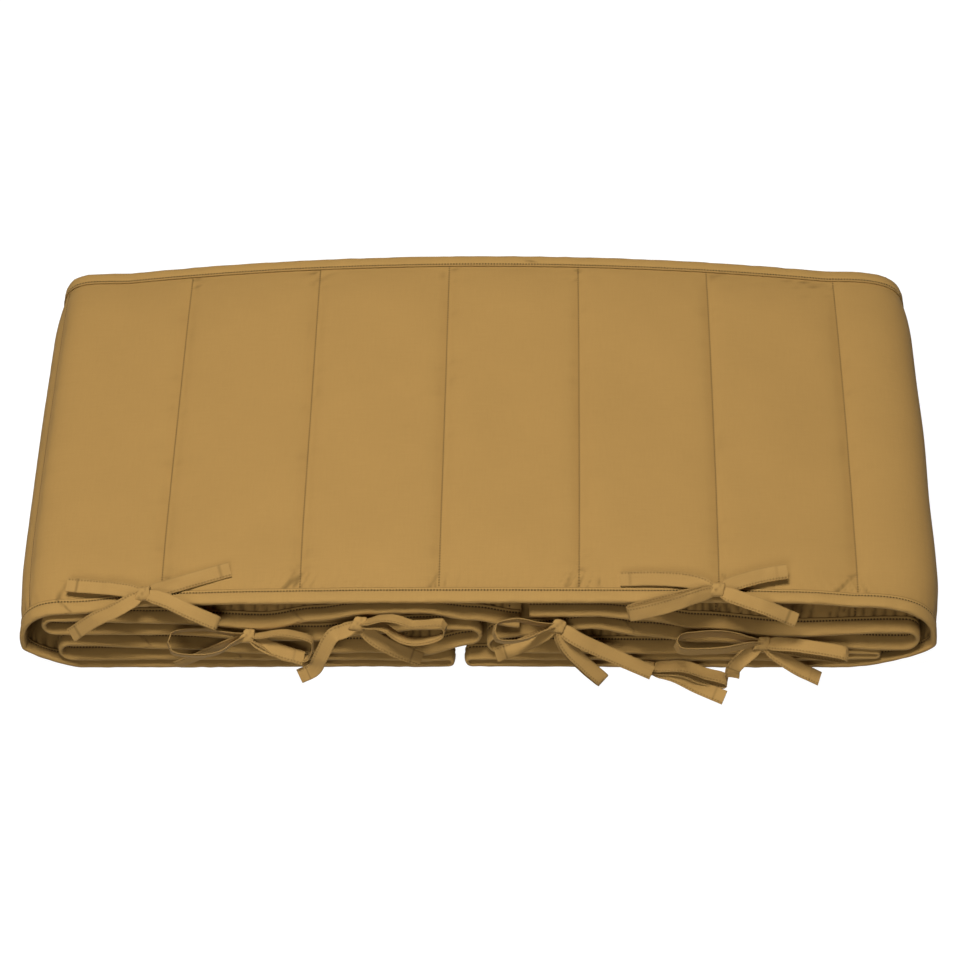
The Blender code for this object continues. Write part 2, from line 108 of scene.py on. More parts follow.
FOLDS = [Fold(*row) for row in (
    ("left", "out", 4, 3, -292.5, -290.5, -1),
    ("left", "in", 3, 2, -1, -6),
    ("left", "out", 2, 1, -285, -281),
    ("left", "in", 1, 0, -20, -20),
    ("left", "out", 0, 5, -309, -309, -1, 36, 0.34, 1.25, 2.6),
    ("right", "out", 5, 0, 305, 301.5, 2, 57, 0.64, 2.5, 1.45),
    ("right", "in", 0, 1, -10, -11),
    ("right", "out", 1, 2, 269, 271),
    ("right", "in", 2, 3, 5, 8),
    ("right", "out", 3, 4, 294, 288),
)]
LEFT_WRAP = 4
WRAP_BOX_BEHIND = 3.4
FREE_RUN_LENGTH = 90.0
FIRST_REACH = 6.0
FOLD_FITS = 4
FOLD_STEPS = 96
RUN_STEP = 4.0
REFERENCE_DEPTH = 150.0
ROW_SPACING = 5.0
LOOKUP_STEP = 0.5
LOOKUP_MARGIN = 2.0
LAST_CELL = 1.001
LATTICE = 256
FLOOR_GAP = 0.05

# Where the strip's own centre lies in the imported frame, whose centre is that of the whole footprint
ROW_SHIFT = np.array((2.221, 17.02, 0.0))

# The cloth's small relief. Each face adds its own 1 or -1 to a seed.
Wave = namedtuple("Wave", "height along across seed")
OUTER = 1
LINING = -1
SEAM_PUCKER = Wave(0.5, 5.0, 1.0, 11)
SEAM_PUCKER_REACH = 6.0
SEAM_CLEARANCE = 1.6
EDGE_PUCKER = 0.4
EDGE_PUCKER_AT_SEAM = 1.1
AT_SEAM_REACH = 9.0
LINING_PUCKER = 2.5
EDGE_PUCKER_REACH = 10.0
EDGE_PUCKER_LENGTH = 6.0
EDGE_PUCKER_FALL = 1.5
EDGE_CLEARANCE = 1.2
REACH_CHANGE = Wave(0.6, 17.0, 1.0, 31)
SLANT = Wave(0.6, 45.0, 1.0, 21)
PLEAT_FLOOR = -0.55
PLEAT_WANDER = 0.8
PLEAT_WANDER_LENGTH = 3.0
PLEAT_LEAN = 0.3
PLEAT_CHANGE = 0.5
FOLD_WRINKLE = 0.9
FOLD_WRINKLE_REACH = 13.0
FOLD_WRINKLE_LENGTH = 4.5
FOLD_WRINKLE_RUN = 60.0
ROLLING = Wave(0.6, 38.0, 55.0, 51)
ROLLING_FROM_EDGE = 25.0
ROLLING_FROM_SEAM = 15.0
CREASE_START = 0.4
PLEAT_SEED = 41
WRINKLE_SEED = 61
LEAN_SEED = 100
CHANGE_SEED = 200
# Painted shade in the valleys of the puckers and creases: the valley depth that gets it in full, and
# its strength
PAINTED_SHADE_DEPTH = 0.9
PAINTED_CREASE_SHADE = 1.1

# Soft creases on the show face, given one by one: the seam that each starts from, its two ends as
# distance past that seam and depth, its half width and its height
Crease = namedtuple("Crease", "seam off_from depth_from off_to depth_to width height")
CREASES = [Crease(*row) for row in (
    (1, -0.5, 25, -8, 11, 1.3, -0.9),
    (1, -2, 22, -4, 10.5, 1.6, 0.6),
    (1, 13, 17, 14.5, 10.5, 1.2, -0.5),
    (3, -1, 27, -14, 11, 1.5, -1),
    (3, -6, 24, -18, 11, 1.8, 0.8),
    (3, 2, 22, 6, 10.5, 1.3, -0.5),
    (2, 1, 24, 10, 11, 1.5, -0.7),
    (0, -1, 21, -6, 10.5, 1.3, -0.7),
    (-1, -1, 20, -11, 10.5, 1.4, -0.9),
    (-1, 1, 18, 5, 10.5, 1.4, 0.5),
    (-2, 1.5, 24, 9, 11, 1.6, -0.6),
    (-3, 30, 26, 22, 11, 2, -0.7),
    (3, -4, 277, -22, 288, 1.6, -0.6),
    (3, -20, 272, -34, 288, 1.6, -0.5),
    (2, 14, 276, 9, 289, 1.5, -0.5),
    (0, -5, 279, -2, 289, 1.5, -0.6),
    (-2, 3, 278, 5, 289, 1.5, -0.6),
)]

# A binding's section: its hem, its stitched line and its puffed edge, as inset and height
BINDING_FACE = (
    (9.6, 0.35), (9.5, 0.8), (9.0, 1.05), (8.3, 1.0), (7.5, 0.7),
    (6.7, 1.0), (5.3, 1.25), (3.0, 1.2), (1.0, 0.9), (0.0, 0.5),
)
BINDING_STITCH = 7.5
STITCH_SEAT = 0.7
EDGE_TURNS = 4
EDGE_ROUNDING = 0.9
# Painted shade along a binding's hem, which also lifts the hem a little
HEM_SHADE = 0.9
BINDING_SEAT = 0.12
BINDING_INSIDE = (9.4, 5.0, 0.0)
END_BINDING_GAP = 0.4
END_BINDING_STATIONS = 120
BINDING_RIPPLE = Wave(0.45, 6.0, 9.0, 61)
RIPPLE_RISE = 3.0
RIPPLE_APART = 3.0
FACES_APART = 12.0
HEM_EDGE = 0.1
BINDING_JOINS = {
    "front": (-1642.0, -946.0, -766.0, -254.0, 1344.0),
    "back": (-1210.0, 60.0, 1090.0),
}
# Each join is a slanted low ridge with painted shade along it: its slant, width and height
JOIN_SLANT = 1.0
JOIN_WIDTH = 0.9
JOIN_HEIGHT = 0.35

# Stitching
STITCH_PITCH = 2.1
STITCH_LENGTH = 1.05
STITCH_END = 1.0
SEAM_STITCH_END = 0.5
THREAD = 0.42
THREAD_LIFT = 0.1
# Needle holes, made by a bump and by painted shade in them; the width of the painted shade along a
# sewn line; and how dark the painted shade of creases, hems, joins and edges gets
HOLE_LENGTH = 0.95
HOLE_WIDTH = 0.8
SEWN_LINE = 1.2
SHADE_DARKNESS = 0.42
THREAD_PITCH = 0.45

# Colours, as linear light, and the cloth's texture: lengths in millimetres, then shares of the tone
# Each cotton's colour, and how dark the painted shade is in its needle holes and along its sewn lines
Cotton = namedtuple("Cotton", "name colour hole_darkness line_darkness")
QUILTED = Cotton("quilted_cotton", (0.298, 0.172, 0.050), 0.52, 0.02)
BOUND = Cotton("binding_cotton", (0.306, 0.179, 0.053), 0.8, 0.06)
TIED = Cotton("tie_cotton", (0.311, 0.182, 0.055), 0.25, 0.04)
SHEEN_TINT = (0.7, 0.5, 0.22, 1.0)
SHEEN = 0.05
SHEEN_ROUGHNESS = 0.5
GLOSS = 0.1
ROUGHNESS = 0.78
ROUGHNESS_CHANGE = 0.12
SLUB_WIDTH = 0.9
SLUB_LENGTH = 16.0
SLUB_HEIGHT = 0.12
DYE_PATCH = 45.0
NOISE_DETAIL = 3.0
PLAIN_TONE = 0.85
UNEVEN_TONE = 0.1
WEAVE_TONE = 0.05
WEAVE_HEIGHT = 0.05
BUMP = 0.5
HOLE_CORE = 0.45
HOLE_DEPTH = 0.5
# Grain size, its change of the tone, the plain tone and the roughness
THREAD_TWIST = (900.0, 0.4, 0.75, 0.7)
THREAD_COLOUR = (0.300, 0.174, 0.052)

# The studio, in metres, and the camera, in millimetres from the strip's centre
FLOOR_SIZE = 40.0
LIGHTS = (
    ("key_light", (-0.14, -0.2, 2.0), 0.65, 50.6),
    ("front_light", (-0.5, -2.7, 2.3), 1.2, 45.0),
)
# How high a direction points, from -1 to 1, and how bright the surroundings are there. Below the
# horizon they stand in for the light that the floor would cast on the cloth.
SURROUNDINGS = ((-1.0, 0.5), (-0.03, 0.5), (-0.02, 0.95), (0.03, 0.95), (0.06, 0.004), (1.0, 0.021))
FLOOR_GLOW = 0.97
FLOOR_GREY = 0.1
FLOOR_GRAIN = (3.0, 0.01, 0.99, 0.9)
CAMERA_PLACE = (63.1, -1300.6, 1681.0)
CAMERA_PITCH = 52.1
CAMERA_LENS = 111.75
SENSOR_WIDTH = 36.0
CAMERA_SHIFT = -0.099
CAMERA_REACH = 100.0

# How closely the meshes are spaced: stations along the strip, then rows across it
TURN_STEP = math.radians(8.0)
LEAST_TURN = 1e-6
FINE_STEP = 1.6
SEAM_STEP = 0.9
STEP_GROWTH = 0.3
STEP_AT_SEAM = 0.3
ON_SEAM = 0.01
COUNTING_STEP = 0.25
SHOW_MARGIN = 5.0
SEEN_STEP = 6.0
HIDDEN_TURN = math.radians(24.0)
HIDDEN_STEP = 18.0
ROW_UNDER = 3.5
ROW_STEP = 1.9
ROW_GROWTH = 3.6
ROWS_GROW_FROM = 14.0
ROWS_GROW_OVER = 70.0
UNDER_BINDING = 7.0
FRONT_FINE = 24.0
FRONT_SEEN = 42.0
BACK_SEEN = 18.0

# The ties, as in the solids
TIE_WIDTH = 10.0
TIE_CLOTH = 0.8
TIE_GATHER = 0.62
TIE_GATHER_REACH = 10.0
TIE_ROOT = 2.5
TIE_STEPS = 14
TIE_FACING = Vector((0.0, -0.58, 0.81))
LOOP_SHOULDER = 0.6
LOOP_ROOT_OPENING = 2.6
TIE_STITCH = 0.74
TIE_STITCH_START = 6.0
TIE_STITCH_SEAT = 0.55
TIE_HEM = 7.0
TIE_HEM_RISE = 1.2
TIE_HEM_THICKER = 0.5
# Width of the painted shade line along a tie's hem
TIE_HEM_SHADE_WIDTH = 0.45
TIE_CUP = Wave(0.7, 16.0, 1.0, 71)
TIE_CUP_MIDDLE = 0.3
TIE_BUCKLE = Wave(0.3, 6.0, 1.0 / 0.7, 72)
# Painted shade along a tie's two edges: how far out it starts, and how dark
TIE_EDGE = 0.94
TIE_EDGE_SHADE = 0.45
TIES_APART = 5.0
CLOTHS_APART = 37.0
TIE_ACROSS = np.array((-1.0, -0.95, -0.8, -0.45, -0.1, 0.25, 0.6, 0.68, 0.74, 0.8, 0.95, 1.0))
EDGE_THINNING = 0.4
EDGE_SHARPNESS = 24
GROOVE = 0.5
GROOVE_WIDTH = 0.05
LOOP_SQUARENESS = 3.4
SHARP_ANGLE = 38.0
KNOT_STEPS = 40
KNOT_HALF_WIDTH = 4.5
KNOT_UP = 3.7
KNOT_OUT = 2.3
KNOT_CLOTH = 0.8
KNOT_SLANT = 1.5
KNOT_TAPER = 0.2
KNOT_CREASE = 0.7
KNOT_CREASE_SLANT = 0.6
KNOT_CREASE_PLACE = -0.1
KNOT_CREASE_WIDTH = 0.16
# Painted shade in the knot's crease and along its edges
KNOT_CREASE_SHADE = 0.7
KNOT_EDGE_SHADE = 1.2
KNOT_SQUARENESS = 2.6
KNOT_BULGE = 0.7
KNOT_BULGE_UP = 0.4
KNOT_WIDTH_CHANGE = Wave(0.12, 1.0 / 1.2, 1.0, 81)
KNOT_RIB = Wave(0.4, 1.0 / 1.3, 1.0 / 2.2, 82)
KNOTS_APART = 9.0
KNOT_TURN = 5.0
KNOT_EDGE = 0.99
KNOT_PLACE = 500.0
NO_STITCH = 50.0
Knot = namedtuple("Knot", "bow x y z")
KNOTS = [Knot(*row) for row in (
    (1, -223, -147, 76.4),
    (2, -156, -157.7, 43),
    (3, -81, -155.8, 54.5),
    (4, 51, -155.1, 51),
    (5, 157, -147, 80.7),
    (6, 189, -157.6, 34),
    (7, 112, -159.9, 8),
)]
MOST_RIBBONS = 4
Ribbon = namedtuple("Ribbon", "bow points roll opening", defaults=(0.0, 0.0))
RIBBONS = [Ribbon(*row) for row in (
    (1, ((-240, -141, 73.5), (-257, -137, 70.5), (-276, -134, 68.5)), -20.0),
    (1, ((-232, -154, 76.5), (-242, -158, 72.5), (-256, -160, 64.5), (-273, -161, 48.5))),
    (1, ((-208, -141, 75.5), (-189, -134, 75.5), (-167, -127, 76.5))),
    (1, ((-207, -153, 76.5), (-191, -159, 71.5), (-174, -161, 61.5)), 10.0, 5.0),
    (2, ((-180, -165, 46), (-208, -167, 48)), 80.0, 18.0),
    (2, ((-171, -161, 37), (-189, -163, 27), (-205, -164, 18)), 60.0),
    (2, ((-134, -162, 40), (-113, -162, 33)), 65.0, 18.0),
    (2, ((-142, -164, 39), (-131, -166, 35), (-119, -167, 30)), 20.0),
    (3, ((-91, -160, 52), (-99, -164, 51), (-107, -171, 37), (-112, -173, 26), (-122, -174, 19))),
    (3, ((-62, -161, 62), (-45, -165, 57), (-23, -164, 61)), 60.0, 13.0),
    (3, ((-70, -162, 45), (-55, -166, 37), (-40, -168, 30))),
    (4, ((28, -163, 57), (9, -165, 57)), 80.0, 14.0),
    (4, ((37, -162, 46), (23, -165, 39), (10, -167, 34))),
    (4, ((66, -162, 44), (90, -165, 29), (115, -169, 16))),
    (4, ((58, -163, 37), (70, -168, 23), (82, -172, 11)), 15.0, 5.0),
    (5, ((139, -139, 80), (116, -136, 79), (93, -136, 78))),
    (5, ((138, -154, 82), (118, -158, 78), (98, -160, 72)), 25.0, 8.0),
    (5, ((173, -140, 81), (189, -135, 81), (204, -132, 81))),
    (5, ((169, -153, 81), (189, -158, 76), (210, -160, 64))),
    (6, ((162, -162, 42), (130, -165, 44)), 65.0, 13.0),
    (6, ((177, -164, 27), (170, -168, 20), (169, -170, 12))),
    (6, ((212, -163, 37), (246, -166, 32)), 25.0, 8.0),
    (6, ((200, -164, 28), (213, -169, 21), (228, -172, 13)), 20.0),
    (7, ((130, -166, 9), (146, -172, 4), (164, -181, 3.5))),
    (7, ((136, -164, 13), (150, -167, 9), (166, -170, 7)), 40.0, 6.0),
)]


def smooth(t):
    """Ease from 0 to 1 with level ends."""
    t = np.clip(t, 0.0, 1.0)
    return t * t * (3.0 - 2.0 * t)


def noise(x, y, seed):
    """Smooth noise from -1 to 1 over two coordinates, one lump to a unit."""
    size = LATTICE
    lattice = np.random.default_rng(seed).uniform(-1.0, 1.0, (size, size))
    x, y = np.broadcast_arrays(x, y)
    column = np.floor(x).astype(int)
    row = np.floor(y).astype(int)
    u = smooth(x - column)
    v = smooth(y - row)
    a = lattice[row % size, column % size]
    b = lattice[row % size, (column + 1) % size]
    c = lattice[(row + 1) % size, column % size]
    d = lattice[(row + 1) % size, (column + 1) % size]
    return (a * (1 - u) + b * u) * (1 - v) + (c * (1 - u) + d * u) * v


def ripple(wave, x, y=0.0, lane=0.0, face=0):
    """Height of an unevenness whose lumps have the wave's lengths in x and in y."""
    return wave.height * noise(x / wave.along, y / wave.across + lane, wave.seed + face)


# The folded strip


def front_line(side, level, x):
    """Height of a layer's middle line at the front edge."""
    heights = np.array(LAYER_FRONTS[side][level])
    distance = -x if side == "left" else x
    i = np.clip(np.searchsorted(STATIONS, distance) - 1, 0, len(STATIONS) - 2)
    t = (distance - STATIONS[i]) / (STATIONS[i + 1] - STATIONS[i])
    return heights[i] + (heights[i + 1] - heights[i]) * smooth(t)


def body_line(level, x, depth):
    """Height of a layer's middle line behind the droop of the front edge."""
    arch = 1.0 - np.minimum(np.abs(x) / ARCH_HALF_SPAN, 1.0) ** 2
    lift = BACK_EDGE_LIFT * smooth(2.0 * depth / PAD_DEPTH - 1.0)
    top = TOP_LINE_END + (TOP_LINE_MIDDLE - TOP_LINE_END + lift) * arch
    return BOTTOM_LINE + (top - BOTTOM_LINE) * level / TOP_LEVEL


def droop(depth):
    """Share of the front edge's own shape at a depth, from 1 to 0."""
    return max(0.0, 1.0 - depth / FRONT_DROOP_REACH) ** 2


def layer_line(side, level, x, depth):
    """Height of a layer's middle line anywhere."""
    body = body_line(level, x, depth)
    return body + (front_line(side, level, x) - body) * droop(depth)


def fold_points(fold, depth):
    """Middle line of one fold from its first layer to its second, as (x, z) points."""
    t = depth / PAD_DEPTH
    crest = fold.x_front + (fold.x_back - fold.x_front) * t + fold.bulge * 4.0 * t * (1.0 - t)
    way = 1.0 if (fold.side == "right") == (fold.crest == "out") else -1.0
    reach = fold.reach or FIRST_REACH
    for _ in range(FOLD_FITS):
        x_mid = crest - way * reach
        z_from = layer_line(fold.side, fold.from_level, x_mid, depth)
        z_to = layer_line(fold.side, fold.to_level, x_mid, depth)
        reach = fold.reach or abs(z_to - z_from) / 2.0
    angle = math.pi * (np.arange(FOLD_STEPS + 1) / FOLD_STEPS - 0.5)
    box = np.where(angle < 0.0, fold.box_from, fold.box_to)
    if fold.reach:
        box = WRAP_BOX_BEHIND + (box - WRAP_BOX_BEHIND) * droop(depth)
    out = np.abs(np.cos(angle)) ** (2.0 / box)
    up = np.abs(np.sin(angle)) ** (2.0 / box)
    z_crest = z_from + (z_to - z_from) * fold.crest_at
    z = z_crest + (np.where(angle < 0.0, z_from, z_to) - z_crest) * up
    return np.stack([x_mid + way * reach * out, z], axis=1)


def run_points(side, level, x_from, x_to, depth):
    """Middle line of a layer between two folds, without its ends. No side: it lies on both."""
    count = max(2, int(abs(x_to - x_from) / RUN_STEP))
    x = np.linspace(x_from, x_to, count + 1)[1:-1]
    left = layer_line("left", level, x, depth)
    right = layer_line("right", level, x, depth)
    is_left = x < 0.0 if side is None else side == "left"
    return np.stack([x, np.where(is_left, left, right)], axis=1)


class StripRow:
    """The strip's middle line at one depth, measured along the strip from the anchor seam."""

    def __init__(self, depth, reference=None):
        folds = [fold_points(fold, depth) for fold in FOLDS]
        parts = [run_points("left", FOLDS[0].from_level, FREE_RUN_LENGTH, folds[0][0, 0], depth)]
        crests = []
        for i, fold in enumerate(folds):
            crests.append(sum(map(len, parts)) + FOLD_STEPS // 2)
            parts.append(fold)
            if i + 1 < len(folds):
                side = None if i == LEFT_WRAP else FOLDS[i].side
                level = FOLDS[i].to_level
                parts.append(run_points(side, level, fold[-1, 0], folds[i + 1][0, 0], depth))
        level = FOLDS[-1].to_level
        parts.append(run_points("right", level, folds[-1][-1, 0], -FREE_RUN_LENGTH, depth))
        self.points = np.concatenate(parts)
        steps = np.hypot(*np.diff(self.points, axis=0).T)
        along = np.concatenate([[0.0], np.cumsum(steps)])
        top = slice(crests[LEFT_WRAP], crests[LEFT_WRAP + 1])
        along -= np.interp(ANCHOR_SEAM_X, self.points[top, 0], along[top])
        self.crests = along[crests]
        if reference:
            own = [along[0], *self.crests, along[-1]]
            target = [reference.along[0], *reference.crests, reference.along[-1]]
            for places in (own, target):
                places.insert(LEFT_WRAP + 2, 0.0)
            along = np.interp(along, own, target)
            self.crests = reference.crests
        self.along = along
        tangents = np.gradient(self.points, axis=0)
        self.tangents = tangents / np.hypot(*tangents.T)[:, None]

    def at(self, s):
        """Middle points and tangents at places along the strip: rows x, z, tangent x, tangent z."""
        columns = (*self.points.T, *self.tangents.T)
        return np.array([np.interp(s, self.along, column) for column in columns])


class Strip:
    """The folded strip's middle surface, looked up at any place along it and at any depth."""

    def __init__(self):
        reference = StripRow(REFERENCE_DEPTH)
        self.crests = reference.crests
        self.places = np.arange(FIRST_END - LOOKUP_MARGIN, LAST_END + LOOKUP_MARGIN, LOOKUP_STEP)
        depths = np.arange(0.0, PAD_DEPTH + ROW_SPACING, ROW_SPACING)
        self.rows = np.array([StripRow(depth, reference).at(self.places) for depth in depths])
        heading = np.unwrap(np.arctan2(self.rows[:, 3], self.rows[:, 2]), axis=1)
        self.turn = np.abs(np.gradient(heading, LOOKUP_STEP, axis=1)).max(axis=0)

    def at(self, s, depth):
        """Middle point (x, z) and tangent (x, z) at each place."""
        s, depth = np.broadcast_arrays(s, depth)
        i = np.clip((s - self.places[0]) / LOOKUP_STEP, 0.0, len(self.places) - LAST_CELL)
        j = np.clip(depth / ROW_SPACING, 0.0, len(self.rows) - LAST_CELL)
        i0 = i.astype(int)
        j0 = j.astype(int)
        u = i - i0
        v = j - j0
        found = []
        for values in self.rows.transpose(1, 0, 2):
            near = values[j0, i0] * (1 - u) + values[j0, i0 + 1] * u
            far = values[j0 + 1, i0] * (1 - u) + values[j0 + 1, i0 + 1] * u
            found.append(near * (1 - v) + far * v)
        x, z, tx, tz = found
        length = np.hypot(tx, tz)
        return x, z, tx / length, tz / length

    def place(self, s, depth, offset, forward=0.0, along=0.0):
        """Points off the middle surface: offset along its normal, forward of it, and along it."""
        x, z, tx, tz = self.at(s, np.clip(depth, 0.0, PAD_DEPTH))
        x = x - tz * offset + tx * along
        z = z + tx * offset + tz * along
        lean = FORWARD_LEAN * (1.0 - np.minimum(z / TOP_LINE_MIDDLE, 1.0))
        y = FRONT_EDGE_Y + depth - lean - forward
        return np.stack(np.broadcast_arrays(x, y, np.maximum(z, FLOOR_GAP)), axis=-1)

    def normal(self, s, depth):
        """Unit normals of the outer face."""
        _, _, tx, tz = self.at(s, depth)
        return np.stack([-tz, np.zeros_like(tx), tx], axis=-1)


strip = Strip()


def to_nearest_seam(s):
    """Distance along the strip to the nearest sewn line."""
    return np.abs((s / CHANNEL_PITCH + 0.5) % 1.0 - 0.5) * CHANNEL_PITCH


def from_binding(depth):
    """Distance in from the nearer long binding."""
    return np.maximum(np.minimum(depth, PAD_DEPTH - depth) - BINDING_WIDTH, 0.0)


def half_thickness(s, depth):
    """Half the padding's plain thickness."""
    bank = np.maximum(to_nearest_seam(s) - SEAM_SEAT, 0.0) / BANK_WIDTH
    across = BANK_SHARE * (1.0 - np.exp(-bank))
    across = across + (1.0 - BANK_SHARE) * np.sqrt(np.abs(np.sin(np.pi * s / CHANNEL_PITCH)))
    crown = SEAM_THICKNESS + (CROWN_THICKNESS - SEAM_THICKNESS) * across
    near = np.minimum(np.minimum(depth, PAD_DEPTH - depth), np.minimum(s - FIRST_END, LAST_END - s))
    flat = 1.0 - np.clip((near - BINDING_WIDTH) / EDGE_RISE, 0.0, 1.0)
    thickness = EDGE_THICKNESS + (crown - EDGE_THICKNESS) * (1.0 - flat**2)
    for crest, fold in zip(strip.crests, FOLDS):
        pinch = WRAP_PINCH if fold.reach else FOLD_PINCH
        thickness = thickness * (1.0 - pinch * np.exp(-(((s - crest) / PINCH_REACH) ** 2)))
    return thickness / 2.0


def pleats(x, y, seed):
    """Uneven pleats, one to a unit, with sharp valleys, round tops and one side steeper."""
    x = x + PLEAT_WANDER * noise(x / PLEAT_WANDER_LENGTH, y, seed)
    cell = np.floor(x)
    across = x - cell
    lean = 0.5 + PLEAT_LEAN * noise(cell, y, seed + LEAN_SEED)
    rise = np.where(across < lean, across / lean, (1.0 - across) / (1.0 - lean))
    height = 1.0 + PLEAT_CHANGE * noise(cell + 0.5, y, seed + CHANGE_SEED)
    return PLEAT_FLOOR + height * np.sin(0.5 * np.pi * rise)


def hand_creases(s, depth):
    """Height of the listed creases."""
    height = np.zeros(np.broadcast(s, depth).shape)
    for crease in CREASES:
        start = np.array((crease.seam * CHANNEL_PITCH + crease.off_from, crease.depth_from))
        run = np.array((crease.off_to - crease.off_from, crease.depth_to - crease.depth_from))
        past, deeper = s - start[0], depth - start[1]
        t = np.clip((past * run[0] + deeper * run[1]) / run.dot(run), 0.0, 1.0)
        away = np.hypot(past - t * run[0], deeper - t * run[1])
        growth = CREASE_START + (1.0 - CREASE_START) * t
        height = height + crease.height * np.exp(-((away / crease.width) ** 2)) * growth
    return height


def puckers(s, depth, face):
    """Height of the quilted cloth's puckers, wrinkles and creases."""
    seam = np.round(s / CHANNEL_PITCH)
    to_seam = to_nearest_seam(s)
    bank = 2.0 * seam + np.sign(s - seam * CHANNEL_PITCH)
    clear_of_seam = 1.0 - np.exp(-to_seam / SEAM_CLEARANCE)
    edge = from_binding(depth)
    clear_of_edge = 1.0 - np.exp(-edge / EDGE_CLEARANCE)
    level = np.zeros_like(edge)
    at_seam = np.exp(-to_seam / SEAM_PUCKER_REACH) * clear_of_seam
    height = at_seam * ripple(SEAM_PUCKER, depth, bank, face=face)
    slant = edge * ripple(SLANT, s, level, face=face)
    gather = EDGE_PUCKER + EDGE_PUCKER_AT_SEAM * np.exp(-((to_seam / AT_SEAM_REACH) ** 2))
    if face == LINING:
        gather = gather + LINING_PUCKER
    reach = EDGE_PUCKER_REACH * (1.0 + ripple(REACH_CHANGE, s, level, face=face))
    gather = gather * np.exp(-((edge / reach) ** EDGE_PUCKER_FALL)) * clear_of_edge
    height = height + gather * pleats((s + slant) / EDGE_PUCKER_LENGTH, level, PLEAT_SEED + face)
    for crest in strip.crests:
        near = FOLD_WRINKLE * np.exp(-(((s - crest) / FOLD_WRINKLE_REACH) ** 2)) * clear_of_edge
        wrinkles = pleats(s / FOLD_WRINKLE_LENGTH, depth / FOLD_WRINKLE_RUN, WRINKLE_SEED + face)
        height = height + near * wrinkles
    return height + hand_creases(s, depth) * (face == OUTER)


def rolling(s, depth, face):
    """Height of the slow unevenness of the filling."""
    inside = np.minimum(from_binding(depth) / ROLLING_FROM_EDGE, 1.0)
    inside = inside * np.minimum(to_nearest_seam(s) / ROLLING_FROM_SEAM, 1.0)
    return ripple(ROLLING, s, depth, face=face) * inside


# Meshes


def new_object(name, data):
    """An object in the scene."""
    thing = bpy.data.objects.new(name, data)
    bpy.context.collection.objects.link(thing)
    return thing


def new_piece(name, points, polygons, material, places=None, stitches=None, painted_shade=None):
    """Make a piece that rides on the body, of points in millimetres with their cloth's places."""
    corners = np.concatenate([group.ravel() for group in polygons])
    used, index = np.unique(corners, return_inverse=True)
    faces = []
    start = 0
    for group in polygons:
        faces += index[start : start + group.size].reshape(group.shape).tolist()
        start += group.size
    mesh = bpy.data.meshes.new(name)
    mesh.from_pydata((np.asarray(points).reshape(-1, 3)[used] + ROW_SHIFT) * MM, [], faces)
    mesh.shade_smooth()
    vector = ("FLOAT_VECTOR", "vector", 3)
    # Attributes for the material: the cloth's places, the stitches' places and the painted shade in
    # creases, hems, joins and edges
    for attribute, values, (kind, field, width) in (
        ("cloth_place", places, vector),
        ("stitch_place", stitches, vector),
        ("painted_shade", painted_shade, ("FLOAT", "value", 1)),
    ):
        if values is not None:
            flat = np.asarray(values, dtype=np.float32).reshape(-1, width)[used].ravel()
            mesh.attributes.new(attribute, kind, "POINT").data.foreach_set(field, flat)
    mesh.materials.append(material)
    piece = new_object(name, mesh)
    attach(piece, "root")
    return piece


def beside(a, b):
    """Coordinates of a cloth's points from two grids."""
    return np.stack([a, b, np.zeros_like(a)], axis=-1)


def spaced(start, end, spacing):
    """Places from start to end, about spacing(place) apart."""
    fine = np.linspace(start, end, 2 + int((end - start) / COUNTING_STEP))
    density = 1.0 / spacing(fine)
    count = np.concatenate([[0.0], np.cumsum((density[1:] + density[:-1]) / 2.0 * np.diff(fine))])
    return np.interp(np.linspace(0.0, count[-1], 1 + math.ceil(count[-1])), count, fine)


def station_spacing(s):
    """How far apart the mesh's stations are along the strip's front edge."""
    turning = TURN_STEP / np.maximum(np.interp(s, strip.places, strip.turn), LEAST_TURN)
    from_seam = SEAM_STEP + STEP_GROWTH * to_nearest_seam(s)
    return np.minimum(np.minimum(FINE_STEP, turning), from_seam)


def strip_stations():
    """Stations along the strip, with one on every seam."""
    seams = np.arange(-SEAMS_EACH_WAY, SEAMS_EACH_WAY + 1) * CHANNEL_PITCH
    kept = [FIRST_END, *seams, LAST_END]
    parts = [spaced(a, b, station_spacing)[:-1] for a, b in zip(kept, kept[1:])]
    return np.concatenate(parts + [[LAST_END]])


def depth_stations():
    """Rows across the strip, close together near the bound edges."""
    def spacing(d):
        inside = np.minimum(d - ROWS_GROW_FROM, PAD_DEPTH - d) / ROWS_GROW_OVER
        return np.where(d < UNDER_BINDING, ROW_UNDER, ROW_STEP + ROW_GROWTH * smooth(inside))

    return spaced(0.0, PAD_DEPTH, spacing)


def few_stations(stations, step, turn):
    """Which stations are enough where less of the cloth is seen."""
    heading = np.interp(stations, strip.places, np.cumsum(strip.turn) * LOOKUP_STEP)
    seam = to_nearest_seam(stations)
    kept = [0]
    for i in range(1, len(stations) - 1):
        enough = min(step, STEP_AT_SEAM * step + STEP_GROWTH * seam[i])
        far = stations[i] - stations[kept[-1]] > enough
        turned = heading[i] - heading[kept[-1]] > turn
        if far or turned or seam[i] < ON_SEAM:
            kept.append(i)
    return np.array(kept + [len(stations) - 1])


